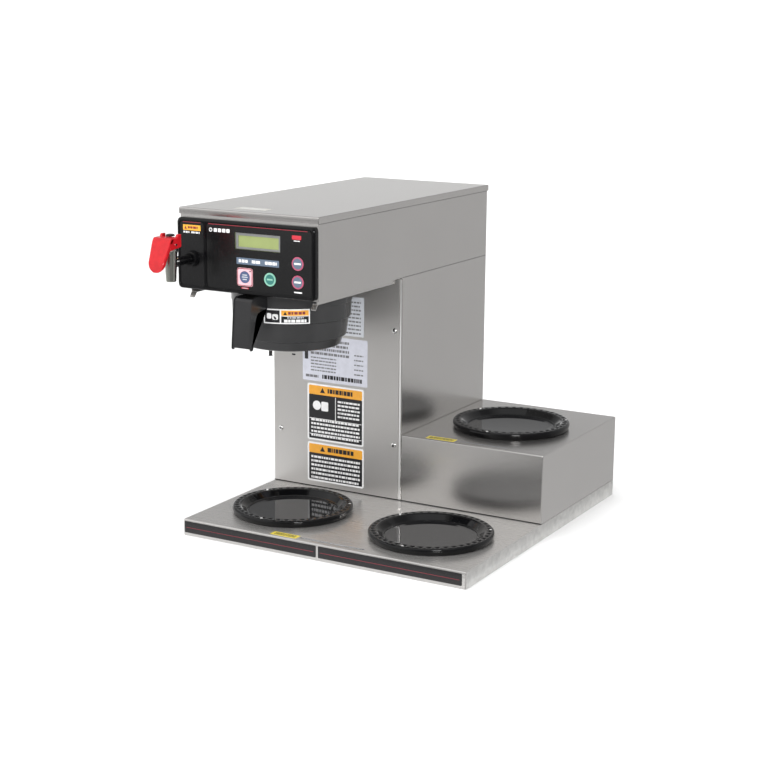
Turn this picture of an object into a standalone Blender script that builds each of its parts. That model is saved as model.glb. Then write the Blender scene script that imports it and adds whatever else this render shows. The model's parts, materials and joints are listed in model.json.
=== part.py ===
"""Commercial coffee brewer: a stainless column and overhanging brew head on a wide base with
two front warmers, and a third warmer on a raised box beside the column. A funnel slides on
rails under the head, and a hot water faucet stands out of the front panel.

Frame: metres, +Z up, front at -Y, origin at the centre of the face that the base rests on.
"""

import math

import bmesh
import bpy
from mathutils import Matrix, Vector

# ---------------------------------------------------------------- driving dimensions
SHEET = 0.0012  # stainless sheet
GAP = 0.0003  # clearance between touching pieces

BASE_WIDTH = 0.406
BASE_DEPTH = 0.457
BASE_HEIGHT = 0.0213
LEFT, RIGHT = -BASE_WIDTH / 2, BASE_WIDTH / 2
FRONT, BACK = -BASE_DEPTH / 2, BASE_DEPTH / 2

COLUMN_WIDTH = 0.2006
COLUMN_RIGHT = LEFT + COLUMN_WIDTH
COLUMN_FRONT = FRONT + 0.2125
COLUMN_TOP = 0.3217

HEAD_FRONT = FRONT + 0.006
HEAD_BOTTOM = 0.3205
HEAD_TOP = 0.4200
PAN_TOP = 0.3302
LID_BOTTOM = 0.4135
LID_TOP = 0.4217
LID_OVERHANG = 0.0015

REAR_BOX_TOP = 0.1118

BREW_X = LEFT + COLUMN_WIDTH / 2
BREW_Y = FRONT + 0.1035
WARMERS = (
    (BREW_X, BREW_Y, BASE_HEIGHT),
    (LEFT + 0.3073, FRONT + 0.0985, BASE_HEIGHT),
    (LEFT + 0.3045, FRONT + 0.3315, REAR_BOX_TOP),
)
WARMER_OPENING = 0.052  # radius of the hole in the steel under each warmer plate

PANEL_FRONT = FRONT - 0.002
PANEL_BOTTOM, PANEL_TOP = 0.3215, 0.4100
PANEL_WALL = 0.0028

FAUCET_X = LEFT + 0.024
FAUCET_Y = FRONT - 0.047
SHANK_Z = 0.360
HANDLE_PIVOT = Vector((FAUCET_X, FAUCET_Y - 0.0068, 0.3837))

TANK_X, TANK_Y = BREW_X, BACK - 0.115
TANK_RADIUS = 0.082
TANK_BOTTOM, TANK_TOP = 0.060, 0.345

ROUND = 32  # segments of a small round piece
ROUND_LARGE = 48  # segments of a large round piece


# ---------------------------------------------------------------- scene and materials
def clear_scene():
    for obj in list(bpy.data.objects):
        bpy.data.objects.remove(obj, do_unlink=True)


def new_collection(name):
    collection = bpy.data.collections.new(name)
    bpy.context.scene.collection.children.link(collection)
    return collection


def new_material(name, colour, roughness, metallic=0.0):
    material = bpy.data.materials.new(name)
    material.use_nodes = True
    shader = material.node_tree.nodes["Principled BSDF"]
    shader.inputs["Base Color"].default_value = (*colour, 1.0)
    shader.inputs["Roughness"].default_value = roughness
    shader.inputs["Metallic"].default_value = metallic
    return material


clear_scene()
PARTS = new_collection("coffee_brewer")
CUTTERS = new_collection("cutters")

STEEL = new_material("stainless_steel", (0.62, 0.60, 0.58), 0.32, 1.0)
CHROME = new_material("chrome", (0.80, 0.80, 0.80), 0.12, 1.0)
BLACK = new_material("black_plastic", (0.03, 0.03, 0.032), 0.45)
GLOSS_BLACK = new_material("gloss_black", (0.015, 0.015, 0.017), 0.15)
ENAMEL = new_material("black_enamel", (0.05, 0.05, 0.055), 0.10)
OVERLAY = new_material("overlay_film", (0.02, 0.02, 0.022), 0.40)
STRIP = new_material("strip_film", (0.06, 0.05, 0.05), 0.40)
RED = new_material("red_plastic", (0.75, 0.03, 0.03), 0.30)
GREEN = new_material("green_key", (0.10, 0.42, 0.30), 0.40)
KEY = new_material("blue_grey_key", (0.25, 0.28, 0.36), 0.40)
PINK = new_material("pink_key", (0.80, 0.55, 0.58), 0.40)
DISPLAY = new_material("display_green", (0.45, 0.58, 0.20), 0.30)
CLEAR = new_material("clear_window", (0.80, 0.85, 0.80), 0.05)
BOARD = new_material("circuit_board", (0.03, 0.20, 0.08), 0.50)
SILICONE = new_material("silicone", (0.80, 0.80, 0.78), 0.45)
BRASS = new_material("brass", (0.75, 0.58, 0.28), 0.30, 1.0)
MICA = new_material("heater_mica", (0.55, 0.50, 0.42), 0.70)
TRANSFORMER = new_material("transformer_steel", (0.30, 0.30, 0.31), 0.50, 1.0)


# ---------------------------------------------------------------- modelling helpers
def link(obj, material):
    """Files obj under the parts, or under the hidden cutters where it has no material."""
    if material is None:
        CUTTERS.objects.link(obj)
        obj.hide_render = True
        obj.display_type = "WIRE"
    else:
        PARTS.objects.link(obj)
        obj.data.materials.append(material)
    return obj


def from_bmesh(name, bm, material, location=(0, 0, 0), rotation=(0, 0, 0)):
    bmesh.ops.recalc_face_normals(bm, faces=bm.faces)
    mesh = bpy.data.meshes.new(name)
    bm.to_mesh(mesh)
    bm.free()
    obj = bpy.data.objects.new(name, mesh)
    obj.location = location
    obj.rotation_euler = rotation
    return link(obj, material)


def bevel(obj, width, segments=2, angle=40):
    modifier = obj.modifiers.new("edges", "BEVEL")
    modifier.width = width
    modifier.segments = segments
    modifier.limit_method = "ANGLE"
    modifier.angle_limit = math.radians(angle)
    return obj


def smooth(obj, angle=35):
    obj.data.shade_smooth()
    obj.data.set_sharp_from_angle(angle=math.radians(angle))
    return obj


def solidify(obj, thickness=SHEET):
    modifier = obj.modifiers.new("wall", "SOLIDIFY")
    modifier.thickness = thickness
    modifier.offset = -1.0
    modifier.use_even_offset = True
    return obj


def boolean(obj, other, operation="DIFFERENCE"):
    modifier = obj.modifiers.new(operation.lower(), "BOOLEAN")
    modifier.operation = operation
    modifier.object = other
    return obj


def cut(obj, *cutters):
    for cutter in cutters:
        boolean(obj, cutter)
    return obj


def unite(obj, *others):
    for other in others:
        boolean(obj, other, "UNION")
    return obj


def box(name, low, high, material=None, edge=0.0, segments=2):
    """A block between two corners."""
    low, high = Vector(low), Vector(high)
    bm = bmesh.new()
    bmesh.ops.create_cube(bm, size=1.0)
    bmesh.ops.scale(bm, vec=high - low, verts=bm.verts)
    obj = from_bmesh(name, bm, material, (low + high) / 2)
    return bevel(obj, edge, segments) if edge else obj


def tray(name, low, high, open_sides, material, edge=0.0015):
    """A folded sheet metal box, open on the sides named, such as "-z"."""
    low, high = Vector(low), Vector(high)
    bm = bmesh.new()
    bmesh.ops.create_cube(bm, size=1.0)
    bmesh.ops.scale(bm, vec=high - low, verts=bm.verts)
    bm.normal_update()
    axes = {"x": 0, "y": 1, "z": 2}
    for side in open_sides:
        sign = -1 if side[0] == "-" else 1
        axis = axes[side[1]]
        faces = [f for f in bm.faces if f.normal[axis] * sign > 0.9]
        bmesh.ops.delete(bm, geom=faces, context="FACES")
    obj = from_bmesh(name, bm, material, (low + high) / 2)
    bevel(obj, edge)
    return solidify(obj)


def wall(name, path, bottom, top, material, closed=False):
    """A folded sheet that follows path, a list of (x, y) that runs anticlockwise, with its
    thickness on the left of the path, which is the inside."""
    count = len(path)
    corners = [(x, y, bottom) for x, y in path] + [(x, y, top) for x, y in path]
    folds = count if closed else count - 1
    faces = []
    for i in range(folds):
        following = (i + 1) % count
        faces.append((i, following, following + count, i + count))
    mesh = bpy.data.meshes.new(name)
    mesh.from_pydata(corners, [], faces)
    return solidify(link(bpy.data.objects.new(name, mesh), material))


def cylinder(name, start, end, radius, material=None, end_radius=None, segments=ROUND):
    """A round bar between two points, tapered where end_radius is given."""
    start, end = Vector(start), Vector(end)
    bm = bmesh.new()
    bmesh.ops.create_cone(
        bm,
        cap_ends=True,
        segments=segments,
        radius1=radius,
        radius2=radius if end_radius is None else end_radius,
        depth=(end - start).length,
    )
    obj = from_bmesh(name, bm, material, (start + end) / 2)
    obj.rotation_euler = (end - start).to_track_quat("Z", "Y").to_euler()
    return smooth(obj)


def turned(name, profile, centre, material=None, closed=True, steps=ROUND_LARGE):
    """A shape turned about the vertical through centre. profile is (radius, z) and runs down
    the outer side first. An open profile starts and ends on the axis."""
    mesh = bpy.data.meshes.new(name)
    count = len(profile)
    edges = [(i, i + 1) for i in range(count - 1)]
    if closed:
        edges.append((count - 1, 0))
    mesh.from_pydata([(r, 0, z) for r, z in profile], edges, [])
    obj = bpy.data.objects.new(name, mesh)
    obj.location = (centre[0], centre[1], 0)
    modifier = obj.modifiers.new("turn", "SCREW")
    modifier.steps = steps
    modifier.render_steps = steps
    modifier.use_merge_vertices = True
    modifier.merge_threshold = 0.00001
    modifier.use_smooth_shade = True
    return link(obj, material)


def rounded_rectangle(width, height, radius, points=5):
    """Outline of a rectangle centred on the origin, with round corners."""
    outline = []
    for corner in range(4):
        start = corner * math.pi / 2
        cx = (width / 2 - radius) * (1 if corner in (0, 3) else -1)
        cy = (height / 2 - radius) * (1 if corner in (0, 1) else -1)
        for i in range(points):
            angle = start + math.pi / 2 * i / (points - 1)
            outline.append((cx + radius * math.cos(angle), cy + radius * math.sin(angle)))
    return outline


# An outline's own x and y run along these axes of the object.
FACING_FRONT = Matrix(((1, 0, 0), (0, 0, -1), (0, 1, 0)))  # x stays x, y becomes z
FACING_RIGHT = Matrix(((0, 0, 1), (1, 0, 0), (0, 1, 0)))  # x becomes y, y becomes z


def outline_plate(name, outline, thickness, centre, facing, material=None):
    """A flat plate cut to outline, as thick as given, centred on the point centre."""
    curve = bpy.data.curves.new(name, "CURVE")
    curve.dimensions = "2D"
    curve.fill_mode = "BOTH"
    curve.extrude = thickness / 2
    spline = curve.splines.new("POLY")
    spline.points.add(len(outline) - 1)
    for point, (u, v) in zip(spline.points, outline):
        point.co = (u, v, 0, 1)
    spline.use_cyclic_u = True
    drawn = bpy.data.objects.new(name + "_outline", curve)
    drawn.matrix_world = Matrix.Translation(centre) @ facing.to_4x4()
    return meshed(name, drawn, material)


def meshed(name, drawn, material):
    """The solid mesh of a curve object, which is removed."""
    CUTTERS.objects.link(drawn)
    bpy.context.view_layer.update()
    graph = bpy.context.evaluated_depsgraph_get()
    mesh = bpy.data.meshes.new_from_object(drawn.evaluated_get(graph))
    bm = bmesh.new()
    bm.from_mesh(mesh)
    bmesh.ops.remove_doubles(bm, verts=bm.verts, dist=0.000005)
    bmesh.ops.recalc_face_normals(bm, faces=bm.faces)
    bm.to_mesh(mesh)
    bm.free()
    mesh.name = name
    obj = bpy.data.objects.new(name, mesh)
    obj.matrix_world = drawn.matrix_world
    bpy.data.objects.remove(drawn, do_unlink=True)
    return link(obj, material)


def tube(name, points, radius, material, side_detail=2):
    """A bent tube, solid inside, along the points."""
    curve = bpy.data.curves.new(name, "CURVE")
    curve.dimensions = "3D"
    curve.bevel_depth = radius
    curve.bevel_resolution = side_detail
    curve.use_fill_caps = True
    spline = curve.splines.new("POLY")
    spline.points.add(len(points) - 1)
    for point, co in zip(spline.points, points):
        point.co = (*co, 1)
    return meshed(name, bpy.data.objects.new(name + "_path", curve), material)


def bent_path(corners, radius, steps=5):
    """Points along a path of straight runs whose corners are rounded to the radius."""
    corners = [Vector(c) for c in corners]
    points = [corners[0]]
    for before, corner, after in zip(corners, corners[1:], corners[2:]):
        back = (before - corner).normalized()
        on = (after - corner).normalized()
        reach = radius / math.tan(back.angle(on) / 2)
        start, end = corner + back * reach, corner + on * reach
        for i in range(steps + 1):
            t = i / steps
            points.append(start * (1 - t) ** 2 + corner * 2 * t * (1 - t) + end * t**2)
    points.append(corners[-1])
    return points


def joint_at(name, point, *objects):
    """An empty on a joint's axis, which carries the pieces that move with it."""
    empty = bpy.data.objects.new(name, None)
    empty.location = point
    empty.empty_display_size = 0.02
    PARTS.objects.link(empty)
    bpy.context.view_layer.update()
    for obj in objects:
        obj.parent = empty
        obj.matrix_parent_inverse = empty.matrix_world.inverted()


# ---------------------------------------------------------------- base
STRIP_BOTTOM, STRIP_TOP = 0.0036, 0.0186
STRIP_THICKNESS = 0.0006
STRIP_GAP = 0.00015
STRIP_SPANS = ((LEFT + 0.0020, LEFT + 0.1997), (LEFT + 0.2032, LEFT + 0.4007))
WIRE_OPENINGS = (
    (BREW_X - 0.055, BACK - 0.050),
    (LEFT + 0.3045, BACK - 0.030),
)


def make_base():
    base = tray(
        "base_tray", (LEFT, FRONT, 0), (RIGHT, BACK, BASE_HEIGHT), ["-z"], STEEL
    )
    for index, (x, y, z) in enumerate(WARMERS[:2]):
        low, high = (x, y, z - 0.01), (x, y, z + 0.01)
        opening = cylinder(f"base_opening_{index}", low, high, WARMER_OPENING, segments=ROUND_LARGE)
        cut(base, opening)
    for index, (x, y) in enumerate(WIRE_OPENINGS):
        low, high = (x, y, BASE_HEIGHT - 0.01), (x, y, BASE_HEIGHT + 0.01)
        cut(base, cylinder(f"wire_opening_{index}", low, high, 0.014))

    inset = SHEET + GAP
    low = (LEFT + inset, FRONT + inset, 0)
    high = (RIGHT - inset, BACK - inset, SHEET)
    box("base_bottom_plate", low, high, STEEL)

    for side, (start, end) in zip(("left", "right"), STRIP_SPANS):
        height = STRIP_TOP - STRIP_BOTTOM
        centre = (
            (start + end) / 2,
            FRONT - STRIP_GAP - STRIP_THICKNESS / 2,
            (STRIP_BOTTOM + STRIP_TOP) / 2,
        )
        outline = rounded_rectangle(end - start, height, 0.0012, 3)
        outline_plate(
            f"base_strip_{side}", outline, STRIP_THICKNESS, centre, FACING_FRONT, STRIP
        )


# ---------------------------------------------------------------- warmers
# (radius, height over the steel) of a warmer's ring, down the outer side and up the inner one
RING_PROFILE = (
    (0.0742, 0.0092),
    (0.0770, 0.0089),
    (0.0785, 0.0077),
    (0.0789, 0.0058),
    (0.0776, 0.0003),
    (0.0585, 0.0003),
    (0.0585, 0.0018),
    (0.0603, 0.0023),
    (0.0668, 0.0082),
    (0.0690, 0.0092),
)


def make_warmer(index, x, y, z):
    """One warmer: a ring on the steel, the plate inside it and the element under the plate."""
    ring = [(r, z + h) for r, h in RING_PROFILE]
    turned(f"warmer_ring_{index}", ring, (x, y), GLOSS_BLACK)
    plate_top, plate_bottom = z + 0.0018, z + 0.0006
    cylinder(
        f"warmer_plate_{index}",
        (x, y, plate_bottom),
        (x, y, plate_top),
        0.0582,
        ENAMEL,
        segments=ROUND_LARGE,
    )
    element_top = plate_bottom - GAP
    element = [
        (0.044, element_top),
        (0.044, element_top - 0.0055),
        (0.016, element_top - 0.0055),
        (0.016, element_top),
    ]
    turned(f"warmer_element_{index}", element, (x, y), MICA, steps=ROUND)


def make_rear_box():
    """The raised box that carries the rear warmer."""
    low = (COLUMN_RIGHT + GAP, COLUMN_FRONT, BASE_HEIGHT + GAP)
    high = (RIGHT, BACK, REAR_BOX_TOP)
    rear_box = tray("rear_warmer_box", low, high, ["-z"], STEEL)
    x, y, z = WARMERS[2]
    opening = cylinder(
        "rear_opening", (x, y, z - 0.01), (x, y, z + 0.01), WARMER_OPENING, segments=ROUND_LARGE
    )
    cut(rear_box, opening)


# ---------------------------------------------------------------- column
COLUMN_BOTTOM = BASE_HEIGHT + GAP
COLUMN_BACK = BACK
FLANGE = 0.018
SCREWS = ((0.0112, 0.0970), (0.1894, 0.0965), (0.0112, 0.2508), (0.1894, 0.2508))
SLOT_X, SLOT_Z = LEFT + 0.0324, 0.2026
INLET_X, INLET_Z = LEFT + 0.045, 0.060
GLAND_X, GLAND_Z = LEFT + 0.158, 0.060
SWITCH_X, SWITCH_Z = LEFT + 0.100, 0.060
SWITCH_WIDTH, SWITCH_HEIGHT = 0.015, 0.024
ROCKER_TIP = 8  # degrees that the rocker leans to either side


def make_column():
    flange_y = COLUMN_FRONT + SHEET + GAP
    path = [
        (LEFT + FLANGE, flange_y),
        (LEFT, flange_y),
        (LEFT, COLUMN_BACK),
        (COLUMN_RIGHT, COLUMN_BACK),
        (COLUMN_RIGHT, flange_y),
        (COLUMN_RIGHT - FLANGE, flange_y),
    ]
    shell = wall("column_shell", path[::-1], COLUMN_BOTTOM, COLUMN_TOP, STEEL)
    low = (LEFT, COLUMN_FRONT, COLUMN_BOTTOM)
    high = (COLUMN_RIGHT, COLUMN_FRONT + SHEET, COLUMN_TOP - 0.0010)
    cover = box("column_front_cover", low, high, STEEL)

    slot = outline_plate(
        "cover_slot",
        rounded_rectangle(0.0060, 0.0022, 0.00105, 4),
        0.01,
        (SLOT_X, COLUMN_FRONT, SLOT_Z),
        FACING_FRONT,
    )
    cut(cover, slot)
    for index, (dx, z) in enumerate(SCREWS, 1):
        x = LEFT + dx
        hole = cylinder(
            f"column_screw_hole_{index}",
            (x, COLUMN_FRONT - 0.01, z),
            (x, COLUMN_FRONT + 0.01, z),
            0.0022,
            segments=12,
        )
        cut(cover, hole)
        cut(shell, hole)
        make_screw(f"column_screw_{index}", x, COLUMN_FRONT - GAP, z)

    behind, before = BACK - 0.01, BACK + 0.01
    for name, x, z, radius in (
        ("inlet_hole", INLET_X, INLET_Z, 0.0075),
        ("gland_hole", GLAND_X, GLAND_Z, 0.0095),
    ):
        cut(shell, cylinder(name, (x, behind, z), (x, before, z), radius, segments=ROUND))
    half_w, half_h = SWITCH_WIDTH / 2 + 0.0015, SWITCH_HEIGHT / 2 + 0.0015
    switch_hole = box(
        "switch_hole",
        (SWITCH_X - half_w, behind, SWITCH_Z - half_h),
        (SWITCH_X + half_w, before, SWITCH_Z + half_h),
    )
    cut(shell, switch_hole)


def make_screw(name, x, y, z):
    """A pan head screw whose head rests on the plane y, pointing along +Y."""
    profile = [
        (0.0, 0.0022),
        (0.0020, 0.0021),
        (0.0034, 0.0014),
        (0.0038, 0.0),
        (0.0018, 0.0),
        (0.0018, -0.0080),
        (0.0, -0.0080),
    ]
    screw = turned(name, profile, (0, 0), CHROME, closed=False, steps=12)
    screw.location = (x, y, z)
    screw.rotation_euler = (math.radians(90), 0, 0)


# ---------------------------------------------------------------- head
NOTCH_Y = FRONT + 0.130
NOTCH_Z = 0.3220
RAIL_FRONT, RAIL_BACK = FRONT + 0.0160, COLUMN_FRONT - 0.006
RAIL_LIP_TOP = 0.3157


def make_head():
    path = [
        (LEFT, HEAD_FRONT),
        (COLUMN_RIGHT, HEAD_FRONT),
        (COLUMN_RIGHT, BACK),
        (LEFT, BACK),
    ]
    shell = wall("head_shell", path, HEAD_BOTTOM, HEAD_TOP, STEEL, closed=True)
    lower_edge = box(
        "head_lower_edge",
        (LEFT - 0.01, NOTCH_Y, HEAD_BOTTOM - 0.01),
        (COLUMN_RIGHT + 0.01, BACK + 0.01, NOTCH_Z),
    )
    window = box(
        "head_front_window",
        (LEFT + 0.010, HEAD_FRONT - 0.01, 0.3335),
        (COLUMN_RIGHT - 0.010, HEAD_FRONT + 0.01, 0.4030),
    )
    cut(shell, lower_edge, window)

    inset = SHEET + GAP
    pan = tray(
        "head_underside_pan",
        (LEFT + inset, HEAD_FRONT + inset, HEAD_BOTTOM + 0.0015),
        (COLUMN_RIGHT - inset, COLUMN_FRONT - GAP, PAN_TOP),
        ["-z"],
        STEEL,
    )
    tube_hole = cylinder(
        "spray_tube_hole",
        (BREW_X, BREW_Y, PAN_TOP - 0.01),
        (BREW_X, BREW_Y, PAN_TOP + 0.01),
        0.0066,
    )
    cut(pan, tube_hole)

    tray(
        "top_lid",
        (LEFT - LID_OVERHANG, HEAD_FRONT - LID_OVERHANG, LID_BOTTOM),
        (COLUMN_RIGHT + LID_OVERHANG, BACK + LID_OVERHANG, LID_TOP),
        ["-z"],
        STEEL,
    )
    for side, sign in (("left", -1), ("right", 1)):
        make_rail(side, sign)


def make_rail(side, sign):
    """A folded rail: a flange under the pan, a web, and a lip that the funnel's wing rides on,
    turned down at the front end as a lead-in."""
    top = PAN_TOP - SHEET - GAP
    lip_out, lip_in = 0.0925, 0.0855
    section = [
        (lip_in, top),
        (lip_in, top - SHEET),
        (lip_out - SHEET, top - SHEET),
        (lip_out - SHEET, RAIL_LIP_TOP),
        (lip_in, RAIL_LIP_TOP),
        (lip_in, RAIL_LIP_TOP - SHEET),
        (lip_out, RAIL_LIP_TOP - SHEET),
        (lip_out, top),
    ]
    outline = [(sign * u, v) for u, v in section]
    centre = (BREW_X, (RAIL_FRONT + RAIL_BACK) / 2, 0)
    rail = outline_plate(
        f"funnel_rail_{side}", outline, RAIL_BACK - RAIL_FRONT, centre, FACING_FRONT, STEEL
    )
    drop, reach = 0.0062, 0.0045
    y, z = RAIL_FRONT + 0.0006, RAIL_LIP_TOP
    lead_in = [
        (y, z),
        (y - reach, z - drop),
        (y - reach + 0.0003, z - drop - 0.0012),
        (y + 0.0012, z - SHEET),
    ]
    middle = BREW_X + sign * (lip_in + lip_out) / 2
    width = lip_out - lip_in
    tip = outline_plate(f"rail_tip_{side}", lead_in, width - 0.0002, (middle, 0, 0), FACING_RIGHT)
    unite(rail, tip)


# ---------------------------------------------------------------- front panel
DISPLAY_LOW = (LEFT + 0.0866, 0.3765)
DISPLAY_HIGH = (LEFT + 0.1518, 0.3968)
BREW_KEY = (LEFT + 0.1007, 0.3431)
POWER_KEY = (LEFT + 0.1369, 0.3431)
REAR_KEY = (LEFT + 0.1764, 0.3652)
FRONT_KEY = (LEFT + 0.1764, 0.3431)
KEY_RADIUS = 0.0082
BREW_KEY_WIDTH, BREW_KEY_HEIGHT = 0.0226, 0.0222
KEY_CLEARANCE = 0.0003
OVERLAY_INSET = 0.0004
OVERLAY_THICKNESS = 0.0005
RECESS_DEPTH = 0.0012
CONTROL_SPAN = (LEFT + 0.0446, LEFT + 0.1962)
FAUCET_SPAN = (LEFT + 0.0048, LEFT + 0.0404)
RECESS_BOTTOM, RECESS_TOP = 0.3258, 0.4060
PANEL_CORNER, RECESS_CORNER = 0.0072, 0.0048


def key_outlines(extra=0.0):
    """Each key's name, centre and outline, grown by extra all round."""
    circle = [
        (
            (KEY_RADIUS + extra) * math.cos(2 * math.pi * i / ROUND),
            (KEY_RADIUS + extra) * math.sin(2 * math.pi * i / ROUND),
        )
        for i in range(ROUND)
    ]
    width, height = BREW_KEY_WIDTH + 2 * extra, BREW_KEY_HEIGHT + 2 * extra
    square = rounded_rectangle(width, height, 0.003 + extra)
    return (
        ("button_brew", BREW_KEY, square, PINK),
        ("button_power", POWER_KEY, circle, GREEN),
        ("button_rear_warmer", REAR_KEY, circle, KEY),
        ("button_front_warmer", FRONT_KEY, circle, KEY),
    )


def panel_recess(name, span, depth, shrink=0.0, front=PANEL_FRONT, material=None):
    """A plate that fills one of the panel's two recesses, from the plane y = front inwards."""
    width = span[1] - span[0] - 2 * shrink
    height = RECESS_TOP - RECESS_BOTTOM - 2 * shrink
    centre = ((span[0] + span[1]) / 2, front + depth / 2, (RECESS_BOTTOM + RECESS_TOP) / 2)
    outline = rounded_rectangle(width, height, RECESS_CORNER - shrink)
    return outline_plate(name, outline, depth, centre, FACING_FRONT, material)


def make_front_panel():
    bezel_back = HEAD_FRONT - GAP
    depth = bezel_back - PANEL_FRONT
    width = COLUMN_WIDTH
    height = PANEL_TOP - PANEL_BOTTOM
    centre = (LEFT + width / 2, PANEL_FRONT + depth / 2, (PANEL_BOTTOM + PANEL_TOP) / 2)
    outline = rounded_rectangle(width, height, PANEL_CORNER)
    bezel = outline_plate("front_bezel", outline, depth, centre, FACING_FRONT, BLACK)
    bevel(bezel, 0.0010, 2, angle=60)

    hollow = box(
        "bezel_hollow",
        (LEFT + 0.003, PANEL_FRONT + PANEL_WALL, PANEL_BOTTOM + 0.003),
        (COLUMN_RIGHT - 0.003, bezel_back + 0.01, PANEL_TOP - 0.003),
    )
    recess_front = PANEL_FRONT - 0.001
    recess_depth = RECESS_DEPTH + 0.001
    control_recess = panel_recess("control_recess", CONTROL_SPAN, recess_depth, front=recess_front)
    faucet_recess = panel_recess("faucet_recess", FAUCET_SPAN, recess_depth, front=recess_front)
    display_hole = box(
        "display_hole",
        (DISPLAY_LOW[0], PANEL_FRONT - 0.01, DISPLAY_LOW[1]),
        (DISPLAY_HIGH[0], PANEL_FRONT + 0.01, DISPLAY_HIGH[1]),
    )
    shank_hole = cylinder(
        "shank_hole",
        (FAUCET_X, PANEL_FRONT - 0.01, SHANK_Z),
        (FAUCET_X, PANEL_FRONT + 0.01, SHANK_Z),
        0.0060,
    )
    cut(bezel, hollow, control_recess, faucet_recess, display_hole, shank_hole)

    film_front = PANEL_FRONT + OVERLAY_INSET
    control_film = panel_recess(
        "control_overlay", CONTROL_SPAN, OVERLAY_THICKNESS, GAP, film_front, OVERLAY
    )
    faucet_film = panel_recess(
        "faucet_overlay", FAUCET_SPAN, OVERLAY_THICKNESS, GAP, film_front, OVERLAY
    )
    cut(control_film, display_hole)
    cut(faucet_film, shank_hole)
    make_keys(bezel, control_film)
    make_display()


def make_keys(bezel, film):
    """The four keys, each proud of the film and free to move in its own hole."""
    for name, (x, z), outline, _ in key_outlines(KEY_CLEARANCE):
        hole = outline_plate(name + "_hole", outline, 0.02, (x, PANEL_FRONT, z), FACING_FRONT)
        cut(film, hole)
        cut(bezel, hole)
    thickness = 0.0032
    front = PANEL_FRONT + 0.0001
    for name, (x, z), outline, material in key_outlines():
        centre = (x, front + thickness / 2, z)
        key = outline_plate(name, outline, thickness, centre, FACING_FRONT, material)
        joint_at(name + "_travel", centre, key)


def make_display():
    """The clear window in its hole, with the display module behind it and the board behind
    that."""
    low_x, low_z = DISPLAY_LOW
    high_x, high_z = DISPLAY_HIGH
    window_front = PANEL_FRONT + 0.0014
    box(
        "display_window",
        (low_x + GAP, window_front, low_z + GAP),
        (high_x - GAP, window_front + 0.0010, high_z - GAP),
        CLEAR,
    )
    module_front = PANEL_FRONT + PANEL_WALL + GAP
    box(
        "display_module",
        (low_x - 0.003, module_front, low_z - 0.002),
        (high_x + 0.003, module_front + 0.0050, high_z + 0.0022),
        DISPLAY,
    )
    board_front = module_front + 0.0050 + GAP
    board = box(
        "control_board",
        (CONTROL_SPAN[0], board_front, 0.3345),
        (CONTROL_SPAN[1] - 0.009, board_front + 0.0016, 0.4020),
        BOARD,
    )
    chip = box(
        "board_relays",
        (CONTROL_SPAN[0] + 0.020, board_front + 0.001, 0.3450),
        (CONTROL_SPAN[0] + 0.075, board_front + 0.017, 0.3620),
    )
    unite(board, chip)


# ---------------------------------------------------------------- faucet
BARREL_TOP = 0.3800
BONNET_TOP = 0.3866
CHEEK_IN, CHEEK_OUT = 0.0100, 0.0135
PIN_RADIUS = 0.0015
BOSS_LENGTH = 0.0100
HANDLE_TOP = 0.3925
STEM_TOP = 0.3955
PADDLE_BOTTOM = 0.3516
PADDLE_END_RADIUS = 0.0112


def make_faucet():
    make_faucet_body()
    make_faucet_shank()
    make_faucet_bonnet()
    make_faucet_handle()


def make_faucet_body():
    """The barrel, with its spout at the bottom, the valve chamber at the top and a boss that
    takes the shank."""
    profile = [
        (0.0080, BARREL_TOP),
        (0.0090, BARREL_TOP - 0.0008),
        (0.0090, 0.3745),
        (0.0082, 0.3718),
        (0.0080, 0.3690),
        (0.0062, 0.3385),
        (0.0056, 0.3372),
        (0.0026, 0.3372),
        (0.0026, 0.3725),
        (0.0052, 0.3735),
        (0.0052, BARREL_TOP),
    ]
    barrel = turned("faucet_body", profile, (FAUCET_X, FAUCET_Y), CHROME, steps=ROUND)
    boss = cylinder(
        "faucet_boss",
        (FAUCET_X, FAUCET_Y + 0.0040, SHANK_Z),
        (FAUCET_X, FAUCET_Y + BOSS_LENGTH, SHANK_Z),
        0.0066,
        segments=24,
    )
    unite(barrel, boss)


def make_faucet_shank():
    """The black shank from the boss through the panel, and the nut that holds it."""
    shank_front = FAUCET_Y + BOSS_LENGTH + GAP
    shank = cylinder(
        "faucet_shank",
        (FAUCET_X, shank_front, SHANK_Z),
        (FAUCET_X, HEAD_FRONT + 0.030, SHANK_Z),
        0.0056,
        BLACK,
        segments=24,
    )
    collar = cylinder(
        "shank_collar",
        (FAUCET_X, shank_front, SHANK_Z),
        (FAUCET_X, shank_front + 0.006, SHANK_Z),
        0.0066,
        segments=24,
    )
    unite(shank, collar)
    nut_back = PANEL_FRONT + OVERLAY_INSET - GAP
    nut = cylinder(
        "faucet_nut",
        (FAUCET_X, nut_back - 0.0070, SHANK_Z),
        (FAUCET_X, nut_back, SHANK_Z),
        0.0085,
        GLOSS_BLACK,
        end_radius=0.0102,
        segments=24,
    )
    nut_bore = cylinder(
        "nut_bore",
        (FAUCET_X, nut_back - 0.02, SHANK_Z),
        (FAUCET_X, nut_back + 0.02, SHANK_Z),
        0.0059,
        segments=24,
    )
    cut(nut, nut_bore)


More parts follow.
